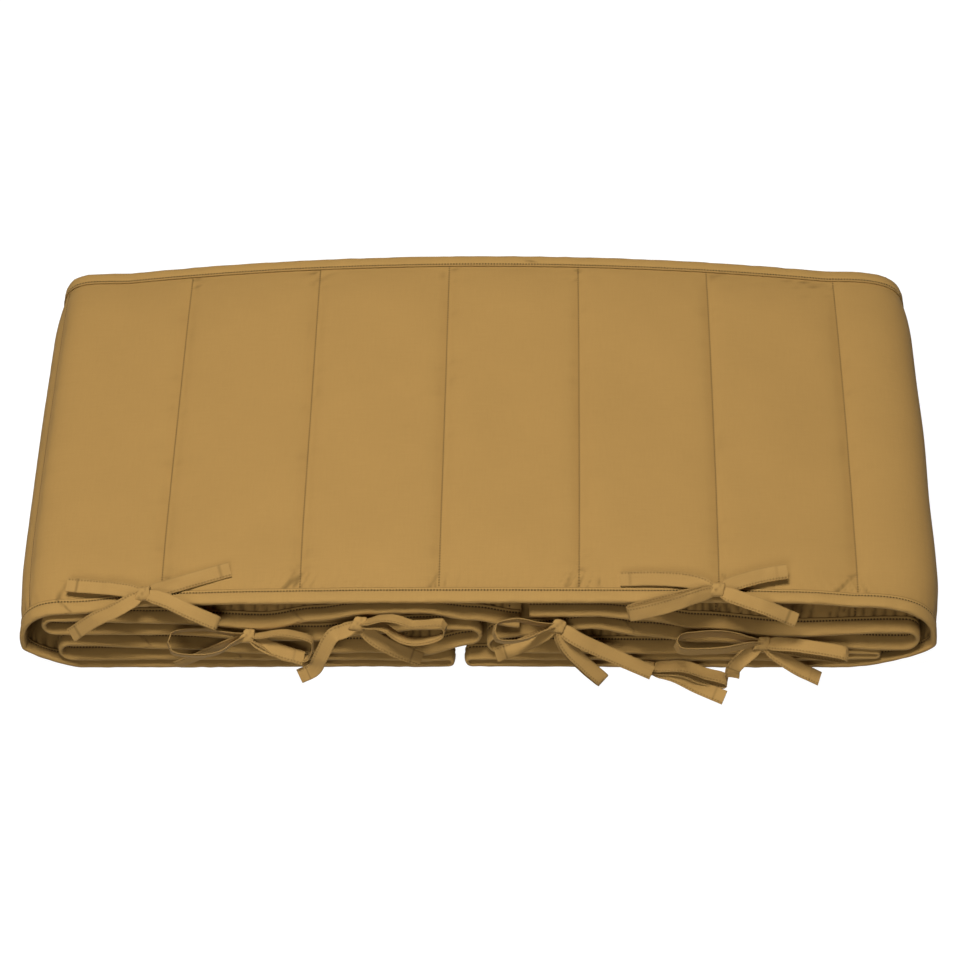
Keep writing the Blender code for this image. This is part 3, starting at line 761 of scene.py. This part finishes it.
def make_pad(material):
    """The quilted panel: two puckered cloths that close over the filling, with painted shade in their
    crease valleys.
    """
    s = strip_stations()
    depths = depth_stations()
    S, D = np.meshgrid(s, depths, indexing="ij")
    half = half_thickness(S, D)
    faces = []
    painted_crease_shade = []
    for face in (OUTER, LINING):
        creased = puckers(S, D, face)
        faces.append(strip.place(S, D, face * (half + creased + rolling(S, D, face))))
        # Painted shade that darkens the valleys of this face's puckers and creases
        painted_crease_shade.append(PAINTED_CREASE_SHADE * smooth(-creased / PAINTED_SHADE_DEPTH))
    show = s > strip.crests[LEFT_WRAP - 1] - SHOW_MARGIN
    show &= s < strip.crests[LEFT_WRAP + 2] + SHOW_MARGIN
    every = np.arange(len(s))
    seen = few_stations(s, SEEN_STEP, TURN_STEP)
    hidden = np.intersect1d(few_stations(s, HIDDEN_STEP, HIDDEN_TURN), seen)
    on_show = np.union1d(hidden, seen[show[seen]])
    index = np.arange(2 * S.size).reshape(2, *S.shape)
    polygons = []
    for side, middle in ((0, on_show), (1, hidden)):
        sets = []
        for depth in depths:
            if UNDER_BINDING < depth < FRONT_FINE:
                sets.append(every)
            elif FRONT_SEEN < depth < PAD_DEPTH - BACK_SEEN:
                sets.append(middle)
            else:
                sets.append(seen)
        for j in range(len(depths) - 1):
            near, far = sets[j], sets[j + 1]
            polygons += row_of_faces(index[side, :, j], near, index[side, :, j + 1], far, side == 1)
    a, b = seen[:-1], seen[1:]
    sides = []
    for start, end, flip in (
        (index[0, a, 0], index[0, b, 0], True),
        (index[0, a, -1], index[0, b, -1], False),
        (index[0, 0, :-1], index[0, 0, 1:], False),
        (index[0, -1, :-1], index[0, -1, 1:], True),
    ):
        corners = [start, end, end + S.size, start + S.size]
        sides.append(np.stack(corners[:1] + corners[:0:-1] if flip else corners, axis=1))
    places = beside(S, D)
    seams = beside(to_nearest_seam(S), D)
    return new_piece(
        "quilted_pad",
        np.stack(faces),
        polygons + sides,
        material,
        np.stack([places, places]),
        np.stack([seams, seams]),
        np.stack(painted_crease_shade),
    )


def row_of_faces(near_row, near, far_row, far, turned):
    """Faces between two rows of points that may keep different stations."""
    if len(near) == len(far):
        quads = [near_row[near[:-1]], near_row[near[1:]], far_row[near[1:]], far_row[near[:-1]]]
        return [np.stack(quads[::-1] if turned else quads, axis=1)]
    if len(near) > len(far):
        return row_of_faces(far_row, far, near_row, near, not turned)
    faces = []
    for a, b in zip(near, near[1:]):
        between = far[(far >= a) & (far <= b)]
        face = np.concatenate([[near_row[a], near_row[b]], far_row[between[::-1]]])
        faces.append((face[::-1] if turned else face)[None])
    return faces


# Bindings and stitches


def edge_place(edge, v, inset):
    """Place along the strip and depth of points inset from a bound edge, at v along it."""
    return {
        "front": (v, inset),
        "back": (v, PAD_DEPTH - inset),
        "first": (FIRST_END + inset, v),
        "last": (LAST_END - inset, v),
    }[edge]


def off_edge(edge, v, inset, height, upright):
    """Points round a bound edge: inset from it, height off the padding, upright from 1 to -1."""
    place, depth = edge_place(edge, v, np.maximum(inset, 0.0))
    beyond = np.maximum(-inset, 0.0)
    forward, along = {"front": (1, 0), "back": (-1, 0), "first": (0, -1), "last": (0, 1)}[edge]
    offset = (half_thickness(place, depth) + height) * upright
    return strip.place(place, depth, offset, forward * beyond, along * beyond)


def binding_section():
    """Section of a binding, from its upper hem round the edge to its lower one, and back inside."""
    face = [(inset, height, 1.0) for inset, height in BINDING_FACE]
    turns = np.linspace(0.0, math.pi, EDGE_TURNS + 2)[1:-1]
    edge = [(-EDGE_ROUNDING * math.sin(a), BINDING_FACE[-1][1], math.cos(a)) for a in turns]
    under = [(inset, height, -1.0) for inset, height, _ in face[::-1]]
    inside = [(inset, BINDING_SEAT, -1.0) for inset in BINDING_INSIDE]
    inside.append((-BINDING_SEAT, BINDING_SEAT, 0.0))
    inside += [(inset, BINDING_SEAT, 1.0) for inset in BINDING_INSIDE[::-1]]
    return np.array(face + edge + under + inside)


def tube_faces(count, around):
    """Faces of a closed-ended tube of rings: its sides, and its two ends."""
    index = np.arange(count * around).reshape(count, around)
    turned = np.roll(index, -1, axis=1)
    sides = np.stack([index[:-1], turned[:-1], turned[1:], index[1:]], axis=-1).reshape(-1, 4)
    return [sides, index[:1, ::-1], index[-1:]]


def make_binding(name, node, edge, v, material):
    """One strip of cloth folded over an edge of the quilted panel."""
    section = binding_section()
    V, inset = np.meshgrid(v, section[:, 0], indexing="ij")
    height = np.broadcast_to(section[:, 1], V.shape)
    upright = np.broadcast_to(section[:, 2], V.shape)
    outside = height > BINDING_SEAT
    free = outside * smooth((BINDING_STITCH - inset) / RIPPLE_RISE)
    rippled = ripple(BINDING_RIPPLE, V, inset, RIPPLE_APART * upright) * free
    # Painted shade along the hem and along each join; the same marks lift the cloth a little there
    join = HEM_SHADE * (outside & (inset > BINDING_WIDTH - HEM_EDGE))
    for at in BINDING_JOINS.get(edge, ()):
        off_line = V - at - JOIN_SLANT * upright * (BINDING_WIDTH / 2.0 - inset)
        join = np.maximum(join, np.exp(-((off_line / JOIN_WIDTH) ** 2)) * outside)
    points = off_edge(edge, V, inset, height + rippled + JOIN_HEIGHT * join, upright)
    if edge in ("back", "first"):
        points = points[:, ::-1]
    places = beside(V, inset - FACES_APART * upright)
    stitches = beside(np.abs(inset - BINDING_STITCH), V)
    if edge in ("back", "first"):
        places, stitches, join = (a[:, ::-1] for a in (places, stitches, join))
    faces = tube_faces(len(v), len(section))
    piece = new_piece(name, points, faces, material, places, stitches, join)
    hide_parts(node)


def stitch_row(points, outward):
    """Small threads lying along a row of points, as lens-shaped solids."""
    ahead = np.gradient(points, axis=0)
    ahead /= np.linalg.norm(ahead, axis=1)[:, None]
    aside = np.cross(ahead, outward)
    tips = ahead * STITCH_LENGTH / 2.0
    width = aside * THREAD / 2.0
    up = outward * THREAD / 2.0
    return np.stack([points + off for off in (-tips, width, up, -width, -up, tips)], axis=1)


def make_stitches(name, rows, material):
    """All the threads of some rows of stitching, as one piece."""
    points = np.concatenate(rows)
    around = (1, 2, 3, 4)
    turned = (2, 3, 4, 1)
    faces = [(0, b, a) for a, b in zip(around, turned)]
    faces += [(5, a, b) for a, b in zip(around, turned)]
    faces = (np.array(faces) + 6 * np.arange(len(points))[:, None, None]).reshape(-1, 3)
    return new_piece(name, points, [faces], material)


def stitch_places(start, end):
    """Places of the threads between two ends, in step with the needle holes of the cloth."""
    first = math.ceil(start / STITCH_PITCH)
    last = math.floor(end / STITCH_PITCH)
    return np.arange(first, last + 1) * STITCH_PITCH


def seam_stitches():
    """Threads of the quilting seams, on both faces."""
    rows = []
    inner = BINDING_WIDTH + SEAM_STITCH_END
    depth = stitch_places(inner, PAD_DEPTH - inner)
    for k in range(-SEAMS_EACH_WAY, SEAMS_EACH_WAY + 1):
        s = np.full_like(depth, k * CHANNEL_PITCH)
        for face in (OUTER, LINING):
            off = face * (half_thickness(s, depth) + THREAD_LIFT)
            rows.append(stitch_row(strip.place(s, depth, off), face * strip.normal(s, depth)))
    return rows


def binding_stitches(edge, start, end):
    """Threads of a binding's two stitched lines."""
    v = stitch_places(start + STITCH_END, end - STITCH_END)
    rows = []
    inset = np.full_like(v, BINDING_STITCH)
    for face in (OUTER, LINING):
        points = off_edge(edge, v, inset, STITCH_SEAT + THREAD_LIFT, face)
        rows.append(stitch_row(points, face * strip.normal(*edge_place(edge, v, inset))))
    return rows


# The tied bows


def smooth_route(points):
    """Points of a smooth curve through a ribbon's own points."""
    padded = [2 * points[0] - points[1]] + points + [2 * points[-1] - points[-2]]
    route = []
    for a, b, c, d in zip(padded, padded[1:], padded[2:], padded[3:]):
        for i in range(TIE_STEPS):
            t = i / TIE_STEPS
            bend = (2 * a - 5 * b + 4 * c - d) * t**2 + (3 * b - a - 3 * c + d) * t**3
            route.append(b + ((c - a) * t + bend) / 2)
    return route + [points[-1]]


def tangent_at(route, i):
    """Direction of a route at one of its points."""
    return (route[min(i + 1, len(route) - 1)] - route[max(i - 1, 0)]).normalized()


def turned_across(direction, roll):
    """Width direction of a ribbon that runs in one direction, turned by its roll."""
    level = direction.cross(TIE_FACING).normalized()
    facing = level.cross(direction)
    return level * math.cos(math.radians(roll)) + facing * math.sin(math.radians(roll))


def loop_route(middle, across, opening):
    """Points out along one side of a loop's middle line, round its tip and back on the other."""
    out = []
    back = []
    count = len(middle) - 1
    for i, point in enumerate(middle[:-1]):
        t = i / count
        if t < LOOP_SHOULDER:
            half = LOOP_ROOT_OPENING + (opening - LOOP_ROOT_OPENING) * smooth(t / LOOP_SHOULDER)
        else:
            past = (t - LOOP_SHOULDER) / (1.0 - LOOP_SHOULDER)
            half = opening * (1.0 - past**LOOP_SQUARENESS) ** (1.0 / LOOP_SQUARENESS)
        aside = across.cross(tangent_at(middle, i)).normalized() * half / 2.0
        out.append(point + aside)
        back.append(point - aside)
    return out + [middle[-1]] + back[::-1]


def tie_swell():
    """Thickness of a tie's cloth at its points across, from 0 to 1: thinner at its two edges."""
    return 1.0 - EDGE_THINNING * np.abs(TIE_ACROSS) ** EDGE_SHARPNESS


def ribbon_section():
    """Section of a flat ribbon, out over its upper face and back under it, in half widths."""
    height = tie_swell() - GROOVE * np.exp(-(((TIE_ACROSS - TIE_STITCH) / GROOVE_WIDTH) ** 2))
    upper = np.stack([TIE_ACROSS, height], axis=1)
    lower = np.stack([TIE_ACROSS, -height], axis=1)
    return np.concatenate([upper, lower[::-1]])


def make_ribbon(knot, number, ribbon):
    """One ribbon of a bow: rings, their cloth's places and painted shade, stitch rows and length."""
    centre = Vector(knot[1:])
    points = [Vector(p) for p in ribbon.points]
    root = centre + (points[0] - centre).normalized() * TIE_ROOT
    route = smooth_route([root] + points)
    fixed_across = None
    if ribbon.opening:
        fixed_across = turned_across((points[-1] - centre).normalized(), ribbon.roll)
        route = loop_route(route, fixed_across, ribbon.opening)
    section = ribbon_section()
    v = section[:, 0]
    line = np.array(route)
    along = np.concatenate([[0.0], np.cumsum(np.linalg.norm(np.diff(line, axis=0), axis=1))])
    rings, places, stitches, painted_shade = [], [], [], []
    edge_points, edge_normals = [], []
    for i, point in enumerate(route):
        tangent = tangent_at(route, i)
        across = fixed_across or turned_across(tangent, ribbon.roll)
        normal = tangent.cross(across).normalized()
        across = np.array(normal.cross(tangent))
        normal = np.array(normal)
        gathered = smooth((point - centre).length / TIE_GATHER_REACH)
        half_width = TIE_WIDTH * float(TIE_GATHER + (1.0 - TIE_GATHER) * gathered) / 2.0
        to_tip = math.inf if ribbon.opening else along[-1] - along[i]
        hem = float(smooth((TIE_HEM - to_tip) / TIE_HEM_RISE))
        half = TIE_CLOTH / 2.0 * (1.0 + TIE_HEM_THICKER * hem)
        cup = ripple(TIE_CUP, along[i], number)
        buckle = ripple(TIE_BUCKLE, along[i], v, TIES_APART * number)
        rise = section[:, 1] * half + cup * (v**2 - TIE_CUP_MIDDLE) + buckle
        rings.append(line[i] + v[:, None] * half_width * across + rise[:, None] * normal)
        run = np.full_like(v, along[i])
        cloth = np.full_like(v, CLOTHS_APART * number)
        places.append(np.stack([run, v * half_width, cloth], axis=1))
        stitches.append(beside(np.abs(v - TIE_STITCH) * half_width, run))
        # Painted shade along the hem's fold line and along the ribbon's edges
        hem_painted_shade = math.exp(-(((to_tip - TIE_HEM) / TIE_HEM_SHADE_WIDTH) ** 2))
        painted_shade.append(np.maximum(hem_painted_shade, TIE_EDGE_SHADE * (np.abs(v) > TIE_EDGE)))
        edge_points.append(line[i] + across * TIE_STITCH * half_width)
        edge_normals.append(normal)
    threads = ribbon_threads(along, np.array(edge_points), np.array(edge_normals))
    return [np.array(rows) for rows in (rings, places, stitches, painted_shade)], threads, along[-1]


def ribbon_threads(along, points, normals):
    """Stitch rows along a ribbon's sewn edge, on both its faces."""
    at = stitch_places(TIE_STITCH_START, along[-1] - STITCH_END)
    line, outward = (
        np.stack([np.interp(at, along, column) for column in rows.T], axis=1)
        for rows in (points, normals)
    )
    outward /= np.linalg.norm(outward, axis=1)[:, None]
    lift = TIE_CLOTH / 2.0 * TIE_STITCH_SEAT + THREAD_LIFT
    return [stitch_row(line + face * outward * lift, face * outward) for face in (OUTER, LINING)]


def knot_band(knot, ribbons):
    """The cloth pulled tight round a bow's middle: rings, and their cloth's places and painted shade.
    """
    centre = Vector(knot[1:])
    axis = Vector((0.0, 0.0, 0.0))
    for ribbon in ribbons:
        away = (Vector(ribbon.points[0]) - centre).normalized()
        axis += away if away.x > 0.0 else -away
    axis.normalize()
    up = TIE_FACING.cross(axis).normalized()
    facing = np.array(axis.cross(up))
    thick = np.concatenate([tie_swell(), np.zeros_like(TIE_ACROSS)]) * KNOT_CLOTH
    w = np.concatenate([TIE_ACROSS, TIE_ACROSS[::-1]])
    rings, places, painted_shade = [], [], []
    for angle in np.linspace(0.0, 2.0 * math.pi, KNOT_STEPS, endpoint=False):
        x = math.cos(angle)
        y = math.sin(angle)
        power = KNOT_SQUARENESS
        squared = (abs(x) ** power + abs(y) ** power) ** (-1.0 / power)
        change = ripple(KNOT_WIDTH_CHANGE, angle, knot.bow)
        width = KNOT_HALF_WIDTH * (1.0 - KNOT_TAPER * x + change)
        rib = ripple(KNOT_RIB, angle, w, KNOTS_APART * knot.bow)
        from_crease = (w - KNOT_CREASE_SLANT * x - KNOT_CREASE_PLACE) / KNOT_CREASE_WIDTH
        crease = KNOT_CREASE * np.exp(-(from_crease**2)) * max(y, 0.0)
        bulge = KNOT_BULGE * (1.0 - w**2) - crease
        r_up = (KNOT_UP + bulge * KNOT_BULGE_UP + rib + thick) * x * squared
        r_out = (KNOT_OUT + bulge + rib + thick) * y * squared
        slide = w * width + KNOT_SLANT * x
        ring = np.array(centre) + np.outer(slide, axis)
        rings.append(ring + np.outer(r_up, up) + np.outer(r_out, facing))
        places.append([(angle * KNOT_TURN, v * width, KNOT_PLACE + knot.bow) for v in w])
        # Painted shade in the crease and along the band's two edges
        creased = KNOT_CREASE_SHADE * crease / KNOT_CREASE
        painted_shade.append(np.maximum(KNOT_EDGE_SHADE * (np.abs(w) > KNOT_EDGE), creased))
    rings = np.array(rings)
    return [rings, np.array(places), np.full(rings.shape, NO_STITCH), np.array(painted_shade)]


def make_bow(knot, material):
    """One tied pair of ties, made of its loops, tails and knot. Gives the rows of its stitches."""
    ribbons = [ribbon for ribbon in RIBBONS if ribbon.bow == knot.bow]
    parts = []
    faces = []
    threads = []
    start = 0
    length = 2.0 * math.pi * KNOT_UP
    for number, ribbon in enumerate(ribbons):
        part, rows, run = make_ribbon(knot, number + MOST_RIBBONS * knot.bow, ribbon)
        count, around = part[0].shape[:2]
        faces += [group + start for group in tube_faces(count, around)]
        start += count * around
        parts.append(part)
        threads += rows
        length += run
    band = knot_band(knot, ribbons)
    count, around = band[0].shape[:2]
    near = start + np.arange(count * around).reshape(count, around)
    far = np.roll(near, -1, axis=0)
    loop = [near, np.roll(near, -1, axis=1), np.roll(far, -1, axis=1), far]
    faces.append(np.stack(loop, axis=-1).reshape(-1, 4))
    parts.append(band)
    points, places, stitches, painted_shade = (
        np.concatenate([rows.reshape(-1, *rows.shape[2:]) for rows in kind]) for kind in zip(*parts)
    )
    name = f"bow_{knot.bow}"
    bow = new_piece(name, points, faces, material, places, stitches, painted_shade)
    bow.data.set_sharp_from_angle(angle=math.radians(SHARP_ANGLE))
    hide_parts(f"tie_bow_{knot.bow}")
    return threads


# Cloth


class Nodes:
    """Short ways to add and join the nodes of a material or world."""

    def __init__(self, owner, shader="Principled BSDF"):
        owner.use_nodes = True
        self.tree = owner.node_tree
        self.shader = self.tree.nodes[shader]

    def add(self, kind, **settings):
        node = self.tree.nodes.new(kind)
        for name, value in settings.items():
            setattr(node, name, value)
        return node

    def put(self, value, socket):
        """Join an output to a socket, or set the socket to a plain value."""
        if isinstance(value, bpy.types.NodeSocket):
            self.tree.links.new(value, socket)
        else:
            socket.default_value = value

    def fill(self, node, names, values):
        """Put values into some of a node's sockets, and give the node's first output."""
        for name, value in zip(names, values):
            self.put(value, node.inputs[name])
        return node.outputs[0]

    def math(self, operation, *values):
        return self.fill(self.add("ShaderNodeMath", operation=operation), range(3), values)

    def attribute(self, name):
        return self.add("ShaderNodeAttribute", attribute_name=name).outputs

    def split(self, vector):
        node = self.add("ShaderNodeSeparateXYZ")
        self.put(vector, node.inputs[0])
        return node.outputs

    def noise(self, x, y, z, across, along):
        """Noise with lumps of a given size on the cloth."""
        x = self.math("MULTIPLY", x, 1.0 / across)
        y = self.math("MULTIPLY", y, 1.0 / along)
        place = self.fill(self.add("ShaderNodeCombineXYZ"), range(3), (x, y, z))
        names = ("Vector", "Scale", "Detail")
        return self.fill(self.add("ShaderNodeTexNoise"), names, (place, 1.0, NOISE_DETAIL))

    def between(self, *values):
        """Map a value smoothly from one range, low and high, to another."""
        node = self.add("ShaderNodeMapRange", interpolation_type="SMOOTHSTEP")
        return self.fill(node, ("Value", "From Min", "From Max", "To Min", "To Max"), values)

    def tinted(self, colour, tone):
        """Give the shader a colour, lightened and darkened by a tone."""
        mix = self.add("ShaderNodeVectorMath", operation="SCALE")
        self.put(self.fill(mix, (0, "Scale"), (colour, tone)), self.shader.inputs["Base Color"])


def cotton(kind):
    """Plain-woven cotton: threads, slubs, uneven dye, needle holes, soft sheen and painted shade: in
    the holes, along sewn lines and where the mesh marks it.
    """
    material = bpy.data.materials.new(kind.name)
    n = Nodes(material)
    x, y, z = n.split(n.attribute("cloth_place")["Vector"])
    warp_slubs = n.noise(x, y, z, SLUB_WIDTH, SLUB_LENGTH)
    weft_slubs = n.noise(x, y, z, SLUB_LENGTH, SLUB_WIDTH)
    dye = n.noise(x, y, z, DYE_PATCH, DYE_PATCH)
    warp, weft = (
        n.math("SINE", n.math("MULTIPLY", place, 2.0 * math.pi / THREAD_PITCH)) for place in (x, y)
    )
    weave = n.math("MULTIPLY", warp, weft)
    across, along, _ = n.split(n.attribute("stitch_place")["Vector"])
    beat = n.math("SUBTRACT", n.math("FRACT", n.math("DIVIDE", along, STITCH_PITCH)), 0.5)
    beat = n.math("MULTIPLY", beat, STITCH_PITCH / HOLE_LENGTH)
    wide = n.math("DIVIDE", across, HOLE_WIDTH)
    radius = n.math("ADD", n.math("MULTIPLY", beat, beat), n.math("MULTIPLY", wide, wide))
    # The needle holes, which get a bump and painted shade, and a band along the sewn line, which gets
    # painted shade
    hole = n.between(n.math("SQRT", radius), HOLE_CORE, 1.0, 1.0, 0.0)
    line = n.between(across, 0.0, SEWN_LINE, 1.0, 0.0)
    tone = PLAIN_TONE
    for unevenness in (warp_slubs, weft_slubs, dye):
        tone = n.math("MULTIPLY_ADD", unevenness, UNEVEN_TONE, tone)
    # The weave's pattern, then painted shade in the needle holes, along the sewn line and from the
    # mesh's painted shade attribute, darken the tone
    for value, share in (
        (weave, WEAVE_TONE),
        (hole, -kind.hole_darkness),
        (line, -kind.line_darkness),
        (n.attribute("painted_shade")["Fac"], -SHADE_DARKNESS),
    ):
        tone = n.math("MULTIPLY", tone, n.math("MULTIPLY_ADD", value, share, 1.0))
    n.tinted(kind.colour, tone)
    height = n.math("MULTIPLY", warp_slubs, SLUB_HEIGHT)
    for value, rise in ((weave, WEAVE_HEIGHT), (weft_slubs, SLUB_HEIGHT), (hole, -HOLE_DEPTH)):
        height = n.math("MULTIPLY_ADD", value, rise, height)
    bump = n.fill(n.add("ShaderNodeBump"), ("Strength", "Distance", "Height"), (BUMP, MM, height))
    roughness = n.math("MULTIPLY_ADD", warp_slubs, ROUGHNESS_CHANGE, ROUGHNESS)
    n.fill(n.shader, ("Roughness", "Normal", "Specular IOR Level"), (roughness, bump, GLOSS))
    names = ("Sheen Weight", "Sheen Roughness", "Sheen Tint")
    n.fill(n.shader, names, (SHEEN, SHEEN_ROUGHNESS, SHEEN_TINT))
    return material


def grainy(name, colour, size, change, base, roughness):
    """A material with a fine grain, and its node helper."""
    material = bpy.data.materials.new(name)
    n = Nodes(material)
    grain = n.fill(n.add("ShaderNodeTexNoise"), ("Scale",), (size,))
    n.tinted(colour, n.math("MULTIPLY_ADD", grain, change, base))
    n.shader.inputs["Roughness"].default_value = roughness
    return material, n


# Studio


def make_floor():
    """A plain pale floor that fills the view. Its glow isn't cast on the cloth."""
    mesh = bpy.data.meshes.new("studio_floor")
    ways = ((-1, -1), (1, -1), (1, 1), (-1, 1))
    corners = [(x * FLOOR_SIZE, y * FLOOR_SIZE, 0.0) for x, y in ways]
    mesh.from_pydata(corners, [], [range(4)])
    floor = new_object("studio_floor", mesh)
    material, n = grainy("pale_floor", (FLOOR_GREY,) * 3, *FLOOR_GRAIN)
    n.fill(n.shader, ("Emission Color", "Emission Strength"), ((1.0, 1.0, 1.0, 1.0), FLOOR_GLOW))
    mesh.materials.append(material)
    floor.visible_diffuse = False


def make_light(name, place, size, power):
    """A soft square light that looks at the part."""
    data = bpy.data.lights.new(name, "AREA")
    data.size = size
    data.energy = power
    light = new_object(name, data)
    light.location = place
    light.rotation_mode = "QUATERNION"
    light.rotation_quaternion = (-Vector(place)).to_track_quat("-Z", "Y")


def make_studio():
    """The floor, the soft lights and the pale surroundings."""
    make_floor()
    for light in LIGHTS:
        make_light(*light)
    world = bpy.data.worlds.new("studio")
    n = Nodes(world, "Background")
    direction = n.split(n.add("ShaderNodeTexCoord").outputs["Generated"])
    ramp = n.add("ShaderNodeValToRGB")
    elements = ramp.color_ramp.elements
    for up, _ in SURROUNDINGS[1:-1]:
        elements.new(0.5 + 0.5 * up)
    for element, (_, level) in zip(elements, SURROUNDINGS):
        element.color = (level, level, level, 1.0)
    height = n.math("MULTIPLY_ADD", direction["Z"], 0.5, 0.5)
    n.put(n.fill(ramp, ("Fac",), (height,)), n.shader.inputs["Color"])
    bpy.context.scene.world = world
    bpy.context.scene.view_settings.view_transform = "Standard"


def make_camera():
    """The camera where the photograph's perspective puts it."""
    data = bpy.data.cameras.new("camera")
    data.lens = CAMERA_LENS
    data.sensor_width = SENSOR_WIDTH
    data.shift_x = CAMERA_SHIFT
    data.clip_end = CAMERA_REACH
    camera = new_object("camera", data)
    camera.location = (Vector(CAMERA_PLACE) + Vector(ROW_SHIFT)) * MM
    camera.rotation_euler.x = math.radians(90.0 - CAMERA_PITCH)
    bpy.context.scene.camera = camera


def main():
    quilted = cotton(QUILTED)
    bound = cotton(BOUND)
    tied = cotton(TIED)
    thread, _ = grainy("sewing_thread", THREAD_COLOUR, *THREAD_TWIST)
    make_studio()
    make_camera()
    pad = make_pad(quilted)
    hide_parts("pad")
    s = strip_stations()
    few = s[few_stations(s, SEEN_STEP, TURN_STEP)]
    inner = BINDING_WIDTH + END_BINDING_GAP
    inner = np.linspace(inner, PAD_DEPTH - inner, END_BINDING_STATIONS)
    rows = []
    for name, node, edge, stations in (
        ("front_binding", "binding_front", "front", s),
        ("back_binding", "binding_back", "back", few),
        ("first_end_binding", "binding_end_left", "first", inner),
        ("last_end_binding", "binding_end_right", "last", inner),
    ):
        make_binding(name, node, edge, stations, bound)
        rows += binding_stitches(edge, stations[0], stations[-1])
    make_stitches("quilting_stitches", seam_stitches(), thread)
    make_stitches("binding_stitches", rows, thread)
    rows = [row for knot in KNOTS for row in make_bow(knot, tied)]
    make_stitches("tie_stitches", rows, thread)


main()
